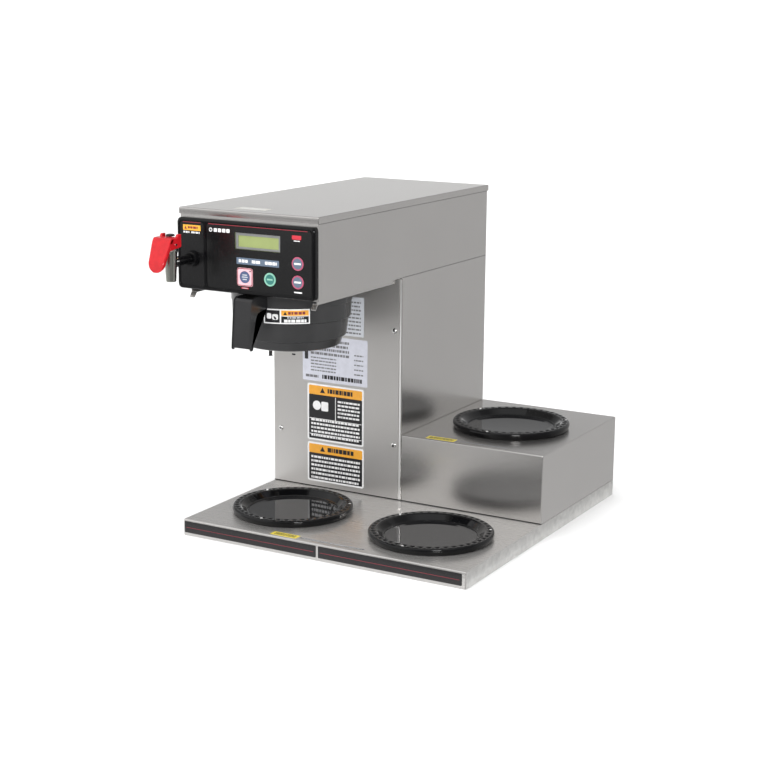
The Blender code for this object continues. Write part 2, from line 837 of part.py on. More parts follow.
def make_faucet_bonnet():
    """The cap on the barrel, bored across for the handle's pin, and the stem, whose head the
    handle lifts."""
    bonnet_bottom = BARREL_TOP + GAP
    ring = [
        (0.0084, BONNET_TOP),
        (0.0092, BONNET_TOP - 0.0008),
        (0.0092, bonnet_bottom),
        (0.0021, bonnet_bottom),
        (0.0021, BONNET_TOP),
    ]
    bonnet = turned("faucet_bonnet", ring, (FAUCET_X, FAUCET_Y), BLACK, steps=ROUND)
    across = Vector((0.02, 0, 0))
    pin_bore = cylinder(
        "bonnet_bore",
        HANDLE_PIVOT - across,
        HANDLE_PIVOT + across,
        PIN_RADIUS + 0.0002,
        segments=16,
    )
    cut(bonnet, pin_bore)
    reach = Vector((CHEEK_OUT + 0.0005, 0, 0))
    cylinder(
        "faucet_pin",
        HANDLE_PIVOT - reach,
        HANDLE_PIVOT + reach,
        PIN_RADIUS,
        CHROME,
        segments=16,
    )
    stem_profile = [
        (0.0, STEM_TOP),
        (0.0040, STEM_TOP - 0.0003),
        (0.0054, STEM_TOP - 0.0012),
        (0.0054, HANDLE_TOP + GAP),
        (0.0017, HANDLE_TOP + GAP),
        (0.0017, 0.3775),
        (0.0044, 0.3775),
        (0.0044, 0.3742),
        (0.0, 0.3742),
    ]
    stem = turned(
        "faucet_stem",
        stem_profile,
        (FAUCET_X, FAUCET_Y),
        BLACK,
        closed=False,
        steps=16,
    )
    joint_at("faucet_stem_travel", (FAUCET_X, FAUCET_Y, 0.3742), stem)


def paddle_outline():
    """The handle seen from the front: straight sides that lean in to a round bottom."""
    outline = [(-0.0140, 0.3900), (-0.0140, 0.4000), (0.0140, 0.4000), (0.0140, 0.3900)]
    steps = 12
    for i in range(steps + 1):
        angle = -math.pi * i / steps
        u = PADDLE_END_RADIUS * math.cos(angle)
        v = PADDLE_BOTTOM + PADDLE_END_RADIUS + PADDLE_END_RADIUS * math.sin(angle)
        outline.append((u, v))
    return outline


def make_faucet_handle():
    """A top plate over the barrel, slotted for the stem, with a paddle hanging in front of it
    and an ear on each side that runs down the paddle's edge as a flange."""
    y = FAUCET_Y
    side = [
        (y + 0.0025, 0.3890),
        (y + 0.0025, HANDLE_TOP),
        (y - 0.0155, 0.3921),
        (y - 0.0170, 0.3908),
        (y - 0.0298, 0.3633),
        (y - 0.0310, 0.3500),
        (y - 0.0280, 0.3500),
        (y - 0.0263, 0.3640),
        (y - 0.0138, 0.3885),
    ]
    handle = outline_plate("faucet_handle", side, 0.04, (FAUCET_X, 0, 0), FACING_RIGHT, RED)
    ear_side = [
        (y + 0.0040, 0.3800),
        (y + 0.0040, 0.3944),
        (y + 0.0028, 0.3956),
        (y - 0.0010, 0.3956),
        (y - 0.0040, 0.3920),
        (y - 0.0150, 0.3914),
        (y - 0.0168, 0.3892),
        (y - 0.0293, 0.3628),
        (y - 0.0302, 0.3560),
        (y - 0.0276, 0.3550),
        (y - 0.0170, 0.3772),
        (y - 0.0040, 0.3790),
    ]
    thickness = CHEEK_OUT - CHEEK_IN
    for sign in (-1, 1):
        middle = FAUCET_X + sign * (CHEEK_IN + thickness / 2)
        ear = outline_plate(
            f"handle_ear_{sign}", ear_side, thickness, (middle, 0, 0), FACING_RIGHT
        )
        unite(handle, ear)
    centre = (FAUCET_X, y, 0)
    front = outline_plate("handle_front", paddle_outline(), 0.09, centre, FACING_FRONT)
    boolean(handle, front, "INTERSECT")
    slot = box(
        "stem_slot",
        (FAUCET_X - 0.0023, y - 0.0024, 0.3850),
        (FAUCET_X + 0.0023, y + 0.0100, 0.4000),
    )
    cut(handle, slot)
    across = Vector((0.02, 0, 0))
    pivot_bore = cylinder(
        "pivot_bore",
        HANDLE_PIVOT - across,
        HANDLE_PIVOT + across,
        PIN_RADIUS + 0.0001,
        segments=16,
    )
    cut(handle, pivot_bore)
    joint_at("faucet_handle_pivot", HANDLE_PIVOT, handle)


# ---------------------------------------------------------------- brew funnel
FUNNEL_TOP = 0.3190
WING_HALF_WIDTH = 0.0908
WING_BOTTOM, WING_TOP = 0.3160, 0.3184
# (radius, z) down the outside of the funnel in its three steps, then up the inside
FUNNEL_PROFILE = (
    (0.0790, FUNNEL_TOP),
    (0.0790, 0.3166),
    (0.0772, 0.3150),
    (0.0768, 0.3024),
    (0.0760, 0.3016),
    (0.0752, 0.2822),
    (0.0722, 0.2806),
    (0.0694, 0.2580),
    (0.0652, 0.2562),
    (0.0624, 0.2462),
    (0.0594, 0.2448),
    (0.0070, 0.2440),
    (0.0066, 0.2366),
    (0.0040, 0.2366),
    (0.0040, 0.2475),
    (0.0590, 0.2500),
    (0.0612, 0.2585),
    (0.0668, 0.2602),
    (0.0697, 0.2830),
    (0.0728, 0.2846),
    (0.0738, 0.3034),
    (0.0746, FUNNEL_TOP),
)
FOOT_RADIUS = 0.028
FOOT_BOTTOM = 0.2285
FOOT_ANGLES = (-17, 103, 223)
GRIP_HALF_WIDTH = 0.0132


def make_funnel():
    axis = (BREW_X, BREW_Y)
    bowl = turned("brew_funnel", FUNNEL_PROFILE, axis, BLACK)
    wings = box(
        "funnel_wings",
        (BREW_X - WING_HALF_WIDTH, BREW_Y - 0.045, WING_BOTTOM),
        (BREW_X + WING_HALF_WIDTH, BREW_Y + 0.060, WING_TOP),
    )
    mouth = cylinder(
        "wing_mouth",
        (BREW_X, BREW_Y, WING_BOTTOM - 0.01),
        (BREW_X, BREW_Y, WING_TOP + 0.01),
        0.0762,
        segments=ROUND_LARGE,
    )
    cut(wings, mouth)
    unite(bowl, wings)
    for index, degrees in enumerate(FOOT_ANGLES):
        angle = math.radians(degrees)
        x = BREW_X + FOOT_RADIUS * math.cos(angle)
        y = BREW_Y + FOOT_RADIUS * math.sin(angle)
        foot = box(
            f"funnel_foot_{index}",
            (-0.0022, -0.0014, FOOT_BOTTOM),
            (0.0022, 0.0014, 0.2455),
        )
        foot.location = (x, y, (FOOT_BOTTOM + 0.2455) / 2)
        foot.rotation_euler = (0, 0, angle)
        unite(bowl, foot)
    joint_at("funnel_slide", (BREW_X, BREW_Y, WING_BOTTOM), bowl, make_funnel_handle())


def make_funnel_handle():
    """The grip: an arm from the rim and a channel that hangs in front of the bowl."""
    front_top, front_bottom = FRONT - 0.0052, FRONT - 0.0106
    arm_back = BREW_Y - 0.0772 - GAP
    side = [
        (arm_back, 0.3146),
        (arm_back - 0.0030, 0.3165),
        (front_top + 0.0040, 0.3165),
        (front_top, 0.3130),
        (front_bottom, 0.2560),
        (front_bottom + 0.0062, 0.2560),
        (front_top + 0.0070, 0.2950),
        (front_top + 0.0120, 0.3010),
        (arm_back, 0.3028),
    ]
    grip = outline_plate(
        "funnel_handle", side, 2 * GRIP_HALF_WIDTH, (BREW_X, 0, 0), FACING_RIGHT, BLACK
    )
    bevel(grip, 0.0016, 2)
    channel = box(
        "grip_channel",
        (BREW_X - GRIP_HALF_WIDTH + 0.0035, front_top + 0.0030, 0.2620),
        (BREW_X + GRIP_HALF_WIDTH - 0.0035, front_top + 0.0300, 0.2900),
    )
    cut(grip, channel)
    return grip


# ---------------------------------------------------------------- brewing parts in the head
def make_spray():
    """The sprayhead under the pan and the tube that feeds it from the dispense valve."""
    profile = [
        (0.0, PAN_TOP - SHEET - GAP),
        (0.0120, PAN_TOP - SHEET - GAP),
        (0.0300, 0.3258),
        (0.0320, 0.3245),
        (0.0320, 0.3212),
        (0.0300, 0.3205),
        (0.0, 0.3205),
    ]
    turned(
        "sprayhead", profile, (BREW_X, BREW_Y), SILICONE, closed=False, steps=ROUND
    )
    path = bent_path(
        [
            (BREW_X, BREW_Y, PAN_TOP - SHEET + 0.0003),
            (BREW_X, BREW_Y, 0.3720),
            (BREW_X, TANK_Y - 0.0700, 0.3720),
        ],
        0.015,
    )
    tube("spray_tube", path, 0.0060, SILICONE)


def make_tank():
    """The tank in the column, with its lid, element and probe inside the head."""
    centre = (TANK_X, TANK_Y)
    inner = TANK_RADIUS - SHEET
    profile = [
        (TANK_RADIUS, TANK_TOP),
        (TANK_RADIUS, TANK_BOTTOM + 0.006),
        (TANK_RADIUS - 0.006, TANK_BOTTOM),
        (0.0, TANK_BOTTOM),
        (0.0, TANK_BOTTOM + SHEET),
        (inner - 0.006, TANK_BOTTOM + SHEET),
        (inner, TANK_BOTTOM + 0.0065),
        (inner, TANK_TOP),
    ]
    turned("water_tank", profile, centre, STEEL, steps=ROUND)

    lid_bottom = TANK_TOP + GAP
    lid = cylinder(
        "tank_lid",
        (*centre, lid_bottom),
        (*centre, lid_bottom + 0.003),
        TANK_RADIUS + 0.004,
        STEEL,
    )
    leg_offset = 0.016
    coil_radius = 0.050
    for sign in (-1, 1):
        x = TANK_X + sign * leg_offset
        hole = cylinder(
            f"element_hole_{sign}",
            (x, TANK_Y, lid_bottom - 0.01),
            (x, TANK_Y, lid_bottom + 0.01),
            0.0046,
            segments=16,
        )
        cut(lid, hole)
    probe_x, probe_y = TANK_X + 0.045, TANK_Y + 0.030
    probe_hole = cylinder(
        "probe_hole",
        (probe_x, probe_y, lid_bottom - 0.01),
        (probe_x, probe_y, lid_bottom + 0.01),
        0.0036,
        segments=16,
    )
    cut(lid, probe_hole)
    cylinder(
        "temperature_probe",
        (probe_x, probe_y, 0.240),
        (probe_x, probe_y, 0.365),
        0.0030,
        CHROME,
        segments=12,
    )
    make_element(leg_offset, coil_radius)


def make_element(leg_offset, coil_radius):
    """The immersion element: two legs through the lid and a loop near the tank's floor."""
    loop_z, leg_top = 0.085, 0.362
    opening = math.asin(leg_offset / coil_radius)
    loop = []
    steps = 20
    for i in range(steps + 1):
        angle = math.pi / 2 + opening + (2 * math.pi - 2 * opening) * i / steps
        x = TANK_X + coil_radius * math.cos(angle)
        y = TANK_Y + coil_radius * math.sin(angle)
        loop.append((x, y, loop_z))
    left, right = TANK_X - leg_offset, TANK_X + leg_offset
    path = [(left, TANK_Y, leg_top), (left, TANK_Y, 0.120), (left, TANK_Y + 0.012, 0.098)]
    path += loop
    path += [(right, TANK_Y + 0.012, 0.098), (right, TANK_Y, 0.120), (right, TANK_Y, leg_top)]
    tube("tank_heater", path, 0.0040, CHROME)


def make_valves():
    """The dispense valve over the tank, and the fill valve with its fitting on the back."""
    lid_top = TANK_TOP + GAP + 0.003
    x, y = BREW_X, TANK_Y - 0.0560
    valve = box(
        "dispense_valve",
        (x - 0.013, y - 0.013, lid_top + GAP),
        (x + 0.013, y + 0.013, 0.3850),
        BLACK,
        edge=0.0015,
    )
    coil = cylinder("dispense_coil", (x, y, 0.3800), (x, y, 0.4080), 0.0110)
    unite(valve, coil)

    fitting_profile_radius = 0.0070
    fitting = cylinder(
        "inlet_fitting",
        (INLET_X, BACK - 0.012, INLET_Z),
        (INLET_X, BACK + 0.0135, INLET_Z),
        fitting_profile_radius,
        BRASS,
        segments=24,
    )
    flange = cylinder(
        "fitting_nut",
        (INLET_X, BACK + GAP, INLET_Z),
        (INLET_X, BACK + 0.0055, INLET_Z),
        0.0100,
        segments=6,
    )
    bore = cylinder(
        "fitting_bore",
        (INLET_X, BACK + 0.004, INLET_Z),
        (INLET_X, BACK + 0.03, INLET_Z),
        0.0048,
        segments=16,
    )
    unite(fitting, flange)
    cut(fitting, bore)

    valve_front = BACK - 0.012 - GAP
    fill_valve = box(
        "inlet_valve",
        (INLET_X - 0.012, valve_front - 0.030, INLET_Z - 0.012),
        (INLET_X + 0.012, valve_front, INLET_Z + 0.012),
        BLACK,
        edge=0.0015,
    )
    fill_coil = cylinder(
        "inlet_coil",
        (INLET_X, valve_front - 0.015, INLET_Z - 0.036),
        (INLET_X, valve_front - 0.015, INLET_Z - 0.008),
        0.0105,
    )
    unite(fill_valve, fill_coil)


def make_hoses():
    """The fill hose up to the tank's lid, and the hose from the lid to the faucet."""
    valve_y = BACK - 0.012 - GAP - 0.015
    hose_y = BACK - 0.016
    corner_x = LEFT + 0.016
    fill = bent_path(
        [
            (INLET_X, valve_y, INLET_Z + 0.012 + GAP),
            (INLET_X, valve_y, 0.085),
            (corner_x, hose_y, 0.100),
            (corner_x, hose_y, 0.372),
            (TANK_X - 0.045, TANK_Y + 0.030, 0.372),
            (TANK_X - 0.045, TANK_Y + 0.030, TANK_TOP + 0.003 + 2 * GAP),
        ],
        0.010,
    )
    tube("fill_hose", fill, 0.0045, SILICONE)
    shank_end = HEAD_FRONT + 0.030 + GAP
    run_x = FAUCET_X - 0.004
    water = bent_path(
        [
            (FAUCET_X, shank_end, SHANK_Z),
            (FAUCET_X, shank_end + 0.030, SHANK_Z),
            (run_x, TANK_Y - 0.060, 0.3750),
            (TANK_X - 0.050, TANK_Y - 0.025, 0.3750),
            (TANK_X - 0.050, TANK_Y - 0.025, TANK_TOP + 0.003 + 2 * GAP),
        ],
        0.012,
    )
    tube("faucet_hose", water, 0.0045, SILICONE)


# ---------------------------------------------------------------- electrical parts
def make_switch():
    """The power switch in the back: a housing and the rocker that tips in it."""
    face = BACK + 0.0018
    half_w, half_h = SWITCH_WIDTH / 2, SWITCH_HEIGHT / 2
    rim = 0.0035
    housing = box(
        "switch_housing",
        (SWITCH_X - half_w - 0.0010, BACK - 0.022, SWITCH_Z - half_h - 0.0010),
        (SWITCH_X + half_w + 0.0010, face, SWITCH_Z + half_h + 0.0010),
        BLACK,
    )
    flange = box(
        "switch_flange",
        (SWITCH_X - half_w - rim, BACK + GAP, SWITCH_Z - half_h - rim),
        (SWITCH_X + half_w + rim, face, SWITCH_Z + half_h + rim),
    )
    pocket = box(
        "switch_pocket",
        (SWITCH_X - half_w + 0.0010, BACK - 0.0115, SWITCH_Z - half_h + 0.0010),
        (SWITCH_X + half_w - 0.0010, face + 0.01, SWITCH_Z + half_h - 0.0010),
    )
    unite(housing, flange)
    cut(housing, pocket)

    # At rest the rocker is tipped so that its lower half stands proud.
    pivot_y = BACK - 0.0040
    level = [
        (-0.0020, -0.0040),
        (-0.0020, 0.0040),
        (0.0010, 0.0098),
        (0.0056, 0.0090),
        (0.0042, 0.0000),
        (0.0056, -0.0090),
        (0.0010, -0.0098),
    ]
    tip = math.radians(ROCKER_TIP)
    side = []
    for u, v in level:
        tipped_y = pivot_y + u * math.cos(tip) - v * math.sin(tip)
        side.append((tipped_y, SWITCH_Z + u * math.sin(tip) + v * math.cos(tip)))
    rocker = outline_plate(
        "switch_rocker",
        side,
        SWITCH_WIDTH - 0.0026,
        (SWITCH_X, 0, 0),
        FACING_RIGHT,
        BLACK,
    )
    joint_at("switch_pivot", (SWITCH_X, pivot_y, SWITCH_Z), rocker)


def make_gland():
    """The cable gland in the back: a threaded body through the wall with a domed hex cap."""
    gland = cylinder(
        "cord_gland",
        (GLAND_X, BACK - 0.012, GLAND_Z),
        (GLAND_X, BACK + 0.0175, GLAND_Z),
        0.0090,
        BLACK,
        segments=24,
    )
    flange = cylinder(
        "gland_flange",
        (GLAND_X, BACK + GAP, GLAND_Z),
        (GLAND_X, BACK + 0.0060, GLAND_Z),
        0.0125,
        segments=6,
    )
    bore = cylinder(
        "gland_bore",
        (GLAND_X, BACK - 0.03, GLAND_Z),
        (GLAND_X, BACK + 0.03, GLAND_Z),
        0.0050,
        segments=24,
    )
    unite(gland, flange)
    cut(gland, bore)


def make_electrics():
    box(
        "terminal_block",
        (GLAND_X - 0.020, BACK - 0.060, 0.0240),
        (GLAND_X + 0.020, BACK - 0.036, 0.0420),
        BLACK,
        edge=0.0010,
    )
    low = (LEFT + 0.012, COLUMN_FRONT + 0.010, 0.0225)
    high = (LEFT + 0.062, COLUMN_FRONT + 0.048, 0.0560)
    box("transformer", low, high, TRANSFORMER, edge=0.0020)


def main():
    make_base()
    for index, (x, y, z) in enumerate(WARMERS, 1):
        make_warmer(index, x, y, z)
    make_rear_box()
    make_column()
    make_head()
    make_front_panel()
    make_faucet()
    make_funnel()
    make_spray()
    make_tank()
    make_valves()
    make_hoses()
    make_switch()
    make_gland()
    make_electrics()


main()
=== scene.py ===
"""A counter-top coffee brewer with three warmers and a hot water faucet: finishes, printed film,
fine mesh detail, floor, lights and camera. All positions are in metres unless a name ends in MM."""

import json
import random
from math import cos, hypot, pi, radians, sin, sqrt, tan

import bmesh
import bpy
from mathutils import Matrix, Vector


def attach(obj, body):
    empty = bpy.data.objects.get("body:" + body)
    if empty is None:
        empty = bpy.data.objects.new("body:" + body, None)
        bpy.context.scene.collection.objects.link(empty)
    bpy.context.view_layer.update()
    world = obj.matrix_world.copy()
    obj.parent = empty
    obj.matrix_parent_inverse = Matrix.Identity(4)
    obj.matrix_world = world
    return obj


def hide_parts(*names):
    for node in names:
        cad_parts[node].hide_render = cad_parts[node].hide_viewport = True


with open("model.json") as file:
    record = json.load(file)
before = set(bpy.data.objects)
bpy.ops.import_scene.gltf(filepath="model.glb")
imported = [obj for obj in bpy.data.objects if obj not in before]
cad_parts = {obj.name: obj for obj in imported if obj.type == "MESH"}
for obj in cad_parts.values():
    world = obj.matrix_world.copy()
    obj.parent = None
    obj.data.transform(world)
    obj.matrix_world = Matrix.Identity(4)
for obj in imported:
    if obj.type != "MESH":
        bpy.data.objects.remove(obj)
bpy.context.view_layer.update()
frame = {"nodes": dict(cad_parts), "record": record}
scene = bpy.context.scene
MM = 0.001

# ---- main dimensions
LEFT, RIGHT = -0.203, 0.203
FRONT, BACK = -0.2285, 0.2285
BASE_TOP = 0.0213
COLUMN_RIGHT = LEFT + 0.2006
COLUMN_FRONT = FRONT + 0.2125
COLUMN_TOP = 0.3217
HEAD_FRONT = FRONT + 0.006
HEAD_BOTTOM, HEAD_TOP = 0.3205, 0.4200
HEAD_NOTCH_Y, HEAD_NOTCH_Z = FRONT + 0.130, 0.3220
LID_BOTTOM, LID_TOP, LID_OVERHANG = 0.4135, 0.4217, 0.0015
LID_FACE = LID_TOP - 0.00015  # the sheet under the sticker
BOX_TOP = 0.1118
PANEL_FRONT = FRONT - 0.002
PANEL_BOTTOM, PANEL_TOP = 0.3215, 0.4100
PANEL_CORNER, RECESS_CORNER = 0.0072, 0.0048
FILM_FRONT = PANEL_FRONT + 0.0004
KEY_FRONT = PANEL_FRONT + 0.0001
BREW_X, BREW_Y = LEFT + 0.1003, FRONT + 0.1035
FAUCET_X, FAUCET_Y = LEFT + 0.024, FRONT - 0.047
SHANK_Z = 0.360
WARMERS = (
    (BREW_X, BREW_Y, BASE_TOP),
    (LEFT + 0.3073, FRONT + 0.0985, BASE_TOP),
    (LEFT + 0.3045, FRONT + 0.3315, BOX_TOP),
)
SHEET = 0.0012


# ---- shaders
def new_node(material, kind, **settings):
    node = material.node_tree.nodes.new(kind)
    for name, value in settings.items():
        setattr(node, name, value)
    return node


def join(material, source, target):
    material.node_tree.links.new(source, target)


def shader_of(material):
    return material.node_tree.nodes["Principled BSDF"]


def noise(material, scale, stretch=(1, 1, 1), detail=4.0, roughness=0.55):
    """Noise in the object's own coordinates, as a value around 0.5."""
    place = new_node(material, "ShaderNodeTexCoord")
    mapping = new_node(material, "ShaderNodeMapping")
    mapping.inputs["Scale"].default_value = stretch
    texture = new_node(material, "ShaderNodeTexNoise")
    texture.inputs["Scale"].default_value = scale
    texture.inputs["Detail"].default_value = detail
    texture.inputs["Roughness"].default_value = roughness
    join(material, place.outputs["Object"], mapping.inputs["Vector"])
    join(material, mapping.outputs["Vector"], texture.inputs["Vector"])
    return texture.outputs["Fac"]


def spread(material, value, low, high, start=0.3, end=0.7):
    """Maps a value that runs from start to end onto low to high."""
    node = new_node(material, "ShaderNodeMapRange")
    node.inputs["From Min"].default_value = start
    node.inputs["From Max"].default_value = end
    node.inputs["To Min"].default_value = low
    node.inputs["To Max"].default_value = high
    join(material, value, node.inputs["Value"])
    return node.outputs["Result"]


def blend_colours(material, factor, first, second):
    node = new_node(material, "ShaderNodeMix", data_type="RGBA")
    join(material, factor, node.inputs["Factor"])
    node.inputs["A"].default_value = (*first, 1)
    node.inputs["B"].default_value = (*second, 1)
    return node.outputs["Result"]


def bump(material, height, distance, strength=1.0):
    node = new_node(material, "ShaderNodeBump")
    node.inputs["Strength"].default_value = strength
    node.inputs["Distance"].default_value = distance
    join(material, height, node.inputs["Height"])
    join(material, node.outputs["Normal"], shader_of(material).inputs["Normal"])


def scaled(colour, amount):
    return tuple(min(1.0, channel * amount) for channel in colour)


FINISHES = {}  # by name. A CAD node's slot is the name of its finish


def finish(
    name, colour, roughness, metallic=0.0, swing=0.10, rough_swing=0.06,
    cloud=14.0, grain=900.0, stretch=(1, 1, 1), depth=0.00002, **sockets,
):
    """A surface whose colour drifts in soft clouds and whose roughness and relief follow a fine
    grain, which stretch draws out along an axis."""
    material = bpy.data.materials.new(name)
    material.use_nodes = True
    shader = shader_of(material)
    shader.inputs["Metallic"].default_value = metallic
    for socket, value in sockets.items():
        shader.inputs[socket.replace("_", " ")].default_value = value
    clouds = noise(material, cloud, detail=3)
    fine = noise(material, grain, stretch, detail=6, roughness=0.65)
    factor = spread(material, clouds, 0, 1)
    dark, light = scaled(colour, 1 - swing), scaled(colour, 1 + swing)
    join(material, blend_colours(material, factor, dark, light), shader.inputs["Base Color"])
    low, high = max(0.02, roughness - rough_swing), min(1.0, roughness + rough_swing)
    join(material, spread(material, fine, low, high), shader.inputs["Roughness"])
    bump(material, fine, depth)
    FINISHES[name] = material
    return material


STEEL_COLOUR = (0.60, 0.585, 0.57)
GRAINS = {"x": (0.01, 1, 1), "y": (1, 0.01, 1), "z": (1, 1, 0.01)}


def steel(name, grain_axis, roughness=0.24, colour=STEEL_COLOUR, metallic=0.95):
    return finish(
        name, colour, roughness, metallic, swing=0.02, rough_swing=0.02,
        cloud=7.0, grain=1800.0, stretch=GRAINS[grain_axis], depth=0.000003,
    )


PLASTIC_GRAIN = {"grain": 1400, "depth": 6e-6, "rough_swing": 0.03}


def plastic(name, colour, roughness, **settings):
    return finish(name, colour, roughness, **{**PLASTIC_GRAIN, **settings})


POLISHED = {"rough_swing": 0.03, "swing": 0.03, "depth": 1e-6}


STEEL_X = steel("stainless_steel", "x")
STEEL_Y = steel("stainless_steel_lengthwise", "y")
STEEL_Z = steel("stainless_steel_upright", "z")
STEEL_TOP = steel("stainless_steel_top", "x", 0.28, metallic=0.80)
STEEL_COVER = steel("stainless_steel_cover", "z", 0.40, metallic=0.82)
SIDE_STEEL = finish(
    "base_side_steel", (0.60, 0.595, 0.58), 0.42, 0.80, swing=0.12, rough_swing=0.08,
    cloud=110.0, stretch=GRAINS["y"], depth=0.000003,
)
# lighter steel that paints highlights: the bright line down the column's edge and the glints on the
# warmer studs
STEEL_HIGHLIGHT = steel("stainless_steel_highlight", "z", 0.30, (0.86, 0.85, 0.84), 0.60)
CHROME = finish("chrome", (0.78, 0.78, 0.77), 0.10, 1.0, grain=300, **POLISHED)
SATIN = finish("satin_barrel", (0.50, 0.51, 0.46), 0.24, 1.0, **POLISHED)
BLACK = plastic("black_plastic", (0.014, 0.014, 0.015), 0.20, swing=0.15)
BOWL = plastic("bowl_plastic", (0.036, 0.036, 0.037), 0.22, swing=0.12, Specular_IOR_Level=0.34)
GLOSS = plastic("gloss_black", (0.003, 0.003, 0.0035), 0.07, grain=220, Specular_IOR_Level=0.32)
ENAMEL_COLOUR = (0.006, 0.006, 0.007)
ENAMEL = plastic("black_enamel", ENAMEL_COLOUR, 0.05, grain=160, depth=2e-6, Specular_IOR_Level=0.38)
FILM = plastic("overlay_film", (0.006, 0.006, 0.0065), 0.22, grain=2200)
STRIP = plastic("strip_film", (0.012, 0.011, 0.012), 0.26, grain=1800)
RED = plastic("red_plastic", (0.50, 0.010, 0.016), 0.13, swing=0.10, cloud=160, grain=500)
DISPLAY = plastic("display_green", (0.29, 0.345, 0.13), 0.30, grain=2600, swing=0.05, cloud=60)
CLEAR_COLOUR = (0.5, 0.55, 0.5)
finish("clear_window", CLEAR_COLOUR, 0.05, grain=300, depth=1e-6, rough_swing=0.02, Alpha=0.10)
SILICONE_COLOUR = (0.78, 0.77, 0.73)
finish("silicone", SILICONE_COLOUR, 0.50, swing=0.05, grain=600, Subsurface_Weight=0.15)
plastic("green_key", (0.16, 0.46, 0.34), 0.30)
plastic("blue_grey_key", (0.50, 0.10, 0.17), 0.30)
plastic("pink_key", (0.80, 0.45, 0.50), 0.30)
finish("circuit_board", (0.020, 0.16, 0.06), 0.45, grain=700, depth=0.00002, cloud=90)
finish("brass", (0.72, 0.50, 0.22), 0.28, 1.0, swing=0.08, grain=900)
finish("heater_mica", (0.45, 0.38, 0.28), 0.60, cloud=60, swing=0.25, grain=700, depth=1e-4)
finish("transformer_steel", (0.28, 0.28, 0.29), 0.45, 1.0, stretch=GRAINS["x"], depth=1e-4)

INK_COLOURS = {
    "white": (0.82, 0.82, 0.82),
    "pale": (0.56, 0.58, 0.62),
    "grey": (0.16, 0.16, 0.17),
    "frame": (0.20, 0.205, 0.20),
    "black": (0.012, 0.012, 0.014),
    "red": (0.55, 0.03, 0.05),
    "line": (0.42, 0.03, 0.05),
    "dark_red": (0.22, 0.02, 0.035),
    "orange": (0.82, 0.37, 0.03),
    "amber": (0.85, 0.42, 0.04),
    "yellow": (0.72, 0.58, 0.06),
    "slate": (0.11, 0.15, 0.21),
    "navy": (0.07, 0.10, 0.20),
    "teal": (0.03, 0.17, 0.15),
    "mint": (0.24, 0.50, 0.39),
    "pink": (0.78, 0.48, 0.53),
    "magenta": (0.42, 0.08, 0.15),
    # dark ink for joints and print, and for the painted shadow under the lid's lip
    "seam": (0.035, 0.034, 0.033),
    "plate": (0.60, 0.61, 0.68),
    "sticker": (0.52, 0.51, 0.46),
}
SHINY_INKS = ("plate", "sticker")


def ink(name):
    roughness = 0.30 if name in SHINY_INKS else 0.35
    colour = INK_COLOURS[name]
    return finish("ink_" + name, colour, roughness, swing=0.06, grain=2600, depth=4e-6, cloud=120)


INKS = {name: ink(name) for name in INK_COLOURS}


def dress_cad_nodes():
    """Gives every node of the frame the finish that its slot names."""
    for part in frame["record"]["subparts"]:
        node = frame["nodes"][part["node"]]
        node.data.materials.clear()
        node.data.materials.append(FINISHES[part["material_slot"]])


# ---- meshes
def add(
    name, bm, materials, body="frame", angle=35, replaces=(), sheet=False
):
    """Turns bm into a piece that rides on body, smooth apart from its sharper edges. A sheet is
    an open surface, thickened inwards."""
    mesh = bpy.data.meshes.new(name)
    bm.normal_update()
    bm.to_mesh(mesh)
    bm.free()
    for material in materials:
        mesh.materials.append(material)
    mesh.polygons.foreach_set("use_smooth", [True] * len(mesh.polygons))
    mesh.set_sharp_from_angle(angle=radians(angle))
    piece = bpy.data.objects.new(name, mesh)
    scene.collection.objects.link(piece)
    if sheet:
        thickness = piece.modifiers.new("sheet", "SOLIDIFY")
        thickness.thickness = SHEET
        thickness.offset = -1
    normals = piece.modifiers.new("flat_faces_stay_flat", "WEIGHTED_NORMAL")
    normals.keep_sharp = True
    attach(piece, body)
    if replaces:
        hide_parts(*replaces)


def outwards(bm):
    """Turns the faces of closed shapes to face outwards."""
    bmesh.ops.recalc_face_normals(bm, faces=bm.faces)


def filleted(points, radius, steps=4, closed=True):
    """A line of points with its corners rounded."""
    rounded = []
    count = len(points)
    for i, point in enumerate(points):
        if not closed and i in (0, count - 1):
            rounded.append(tuple(point))
            continue
        corner = Vector(point)
        before = Vector(points[i - 1]) - corner
        after = Vector(points[(i + 1) % count]) - corner
        half = before.angle(after) / 2
        reach = min(radius / tan(half), 0.48 * before.length, 0.48 * after.length)
        start = corner + before.normalized() * reach
        end = corner + after.normalized() * reach
        for k in range(steps + 1):
            t = k / steps
            rounded.append(tuple(start * (1 - t) ** 2 + corner * (2 * t * (1 - t)) + end * t**2))
    return rounded


def rectangle(left, low, right, high, radius=0.0, steps=4):
    corners = [(left, low), (right, low), (right, high), (left, high)]
    return filleted(corners, radius, steps) if radius else corners


def disc(x, z, radius, steps=40):
    turns = [2 * pi * i / steps for i in range(steps)]
    return [(x + radius * cos(a), z + radius * sin(a)) for a in turns]


def turned(bm, profile, centre, steps=96, closed=True, height=None):
    """Turns a profile of (radius, z) about the vertical through centre. An open one starts and
    ends on the axis. height(angle, radius, z) may raise or lower a point."""
    height = height or (lambda angle, radius, z: z)
    x, y = centre
    rings = []
    for radius, z in profile:
        if radius < 1e-6:
            rings.append([bm.verts.new((x, y, z))])
            continue
        ring = []
        for i in range(steps):
            a = 2 * pi * i / steps
            point = (x + radius * cos(a), y + radius * sin(a), height(a, radius, z))
            ring.append(bm.verts.new(point))
        rings.append(ring)
    pairs = list(zip(rings, rings[1:])) + ([(rings[-1], rings[0])] if closed else [])
    for upper, lower in pairs:
        for i in range(steps):
            j = (i + 1) % steps
            loop = [upper[i % len(upper)], lower[i % len(lower)]]
            if len(lower) > 1:
                loop.append(lower[j])
            if len(upper) > 1:
                loop.append(upper[j])
            bm.faces.new(loop)


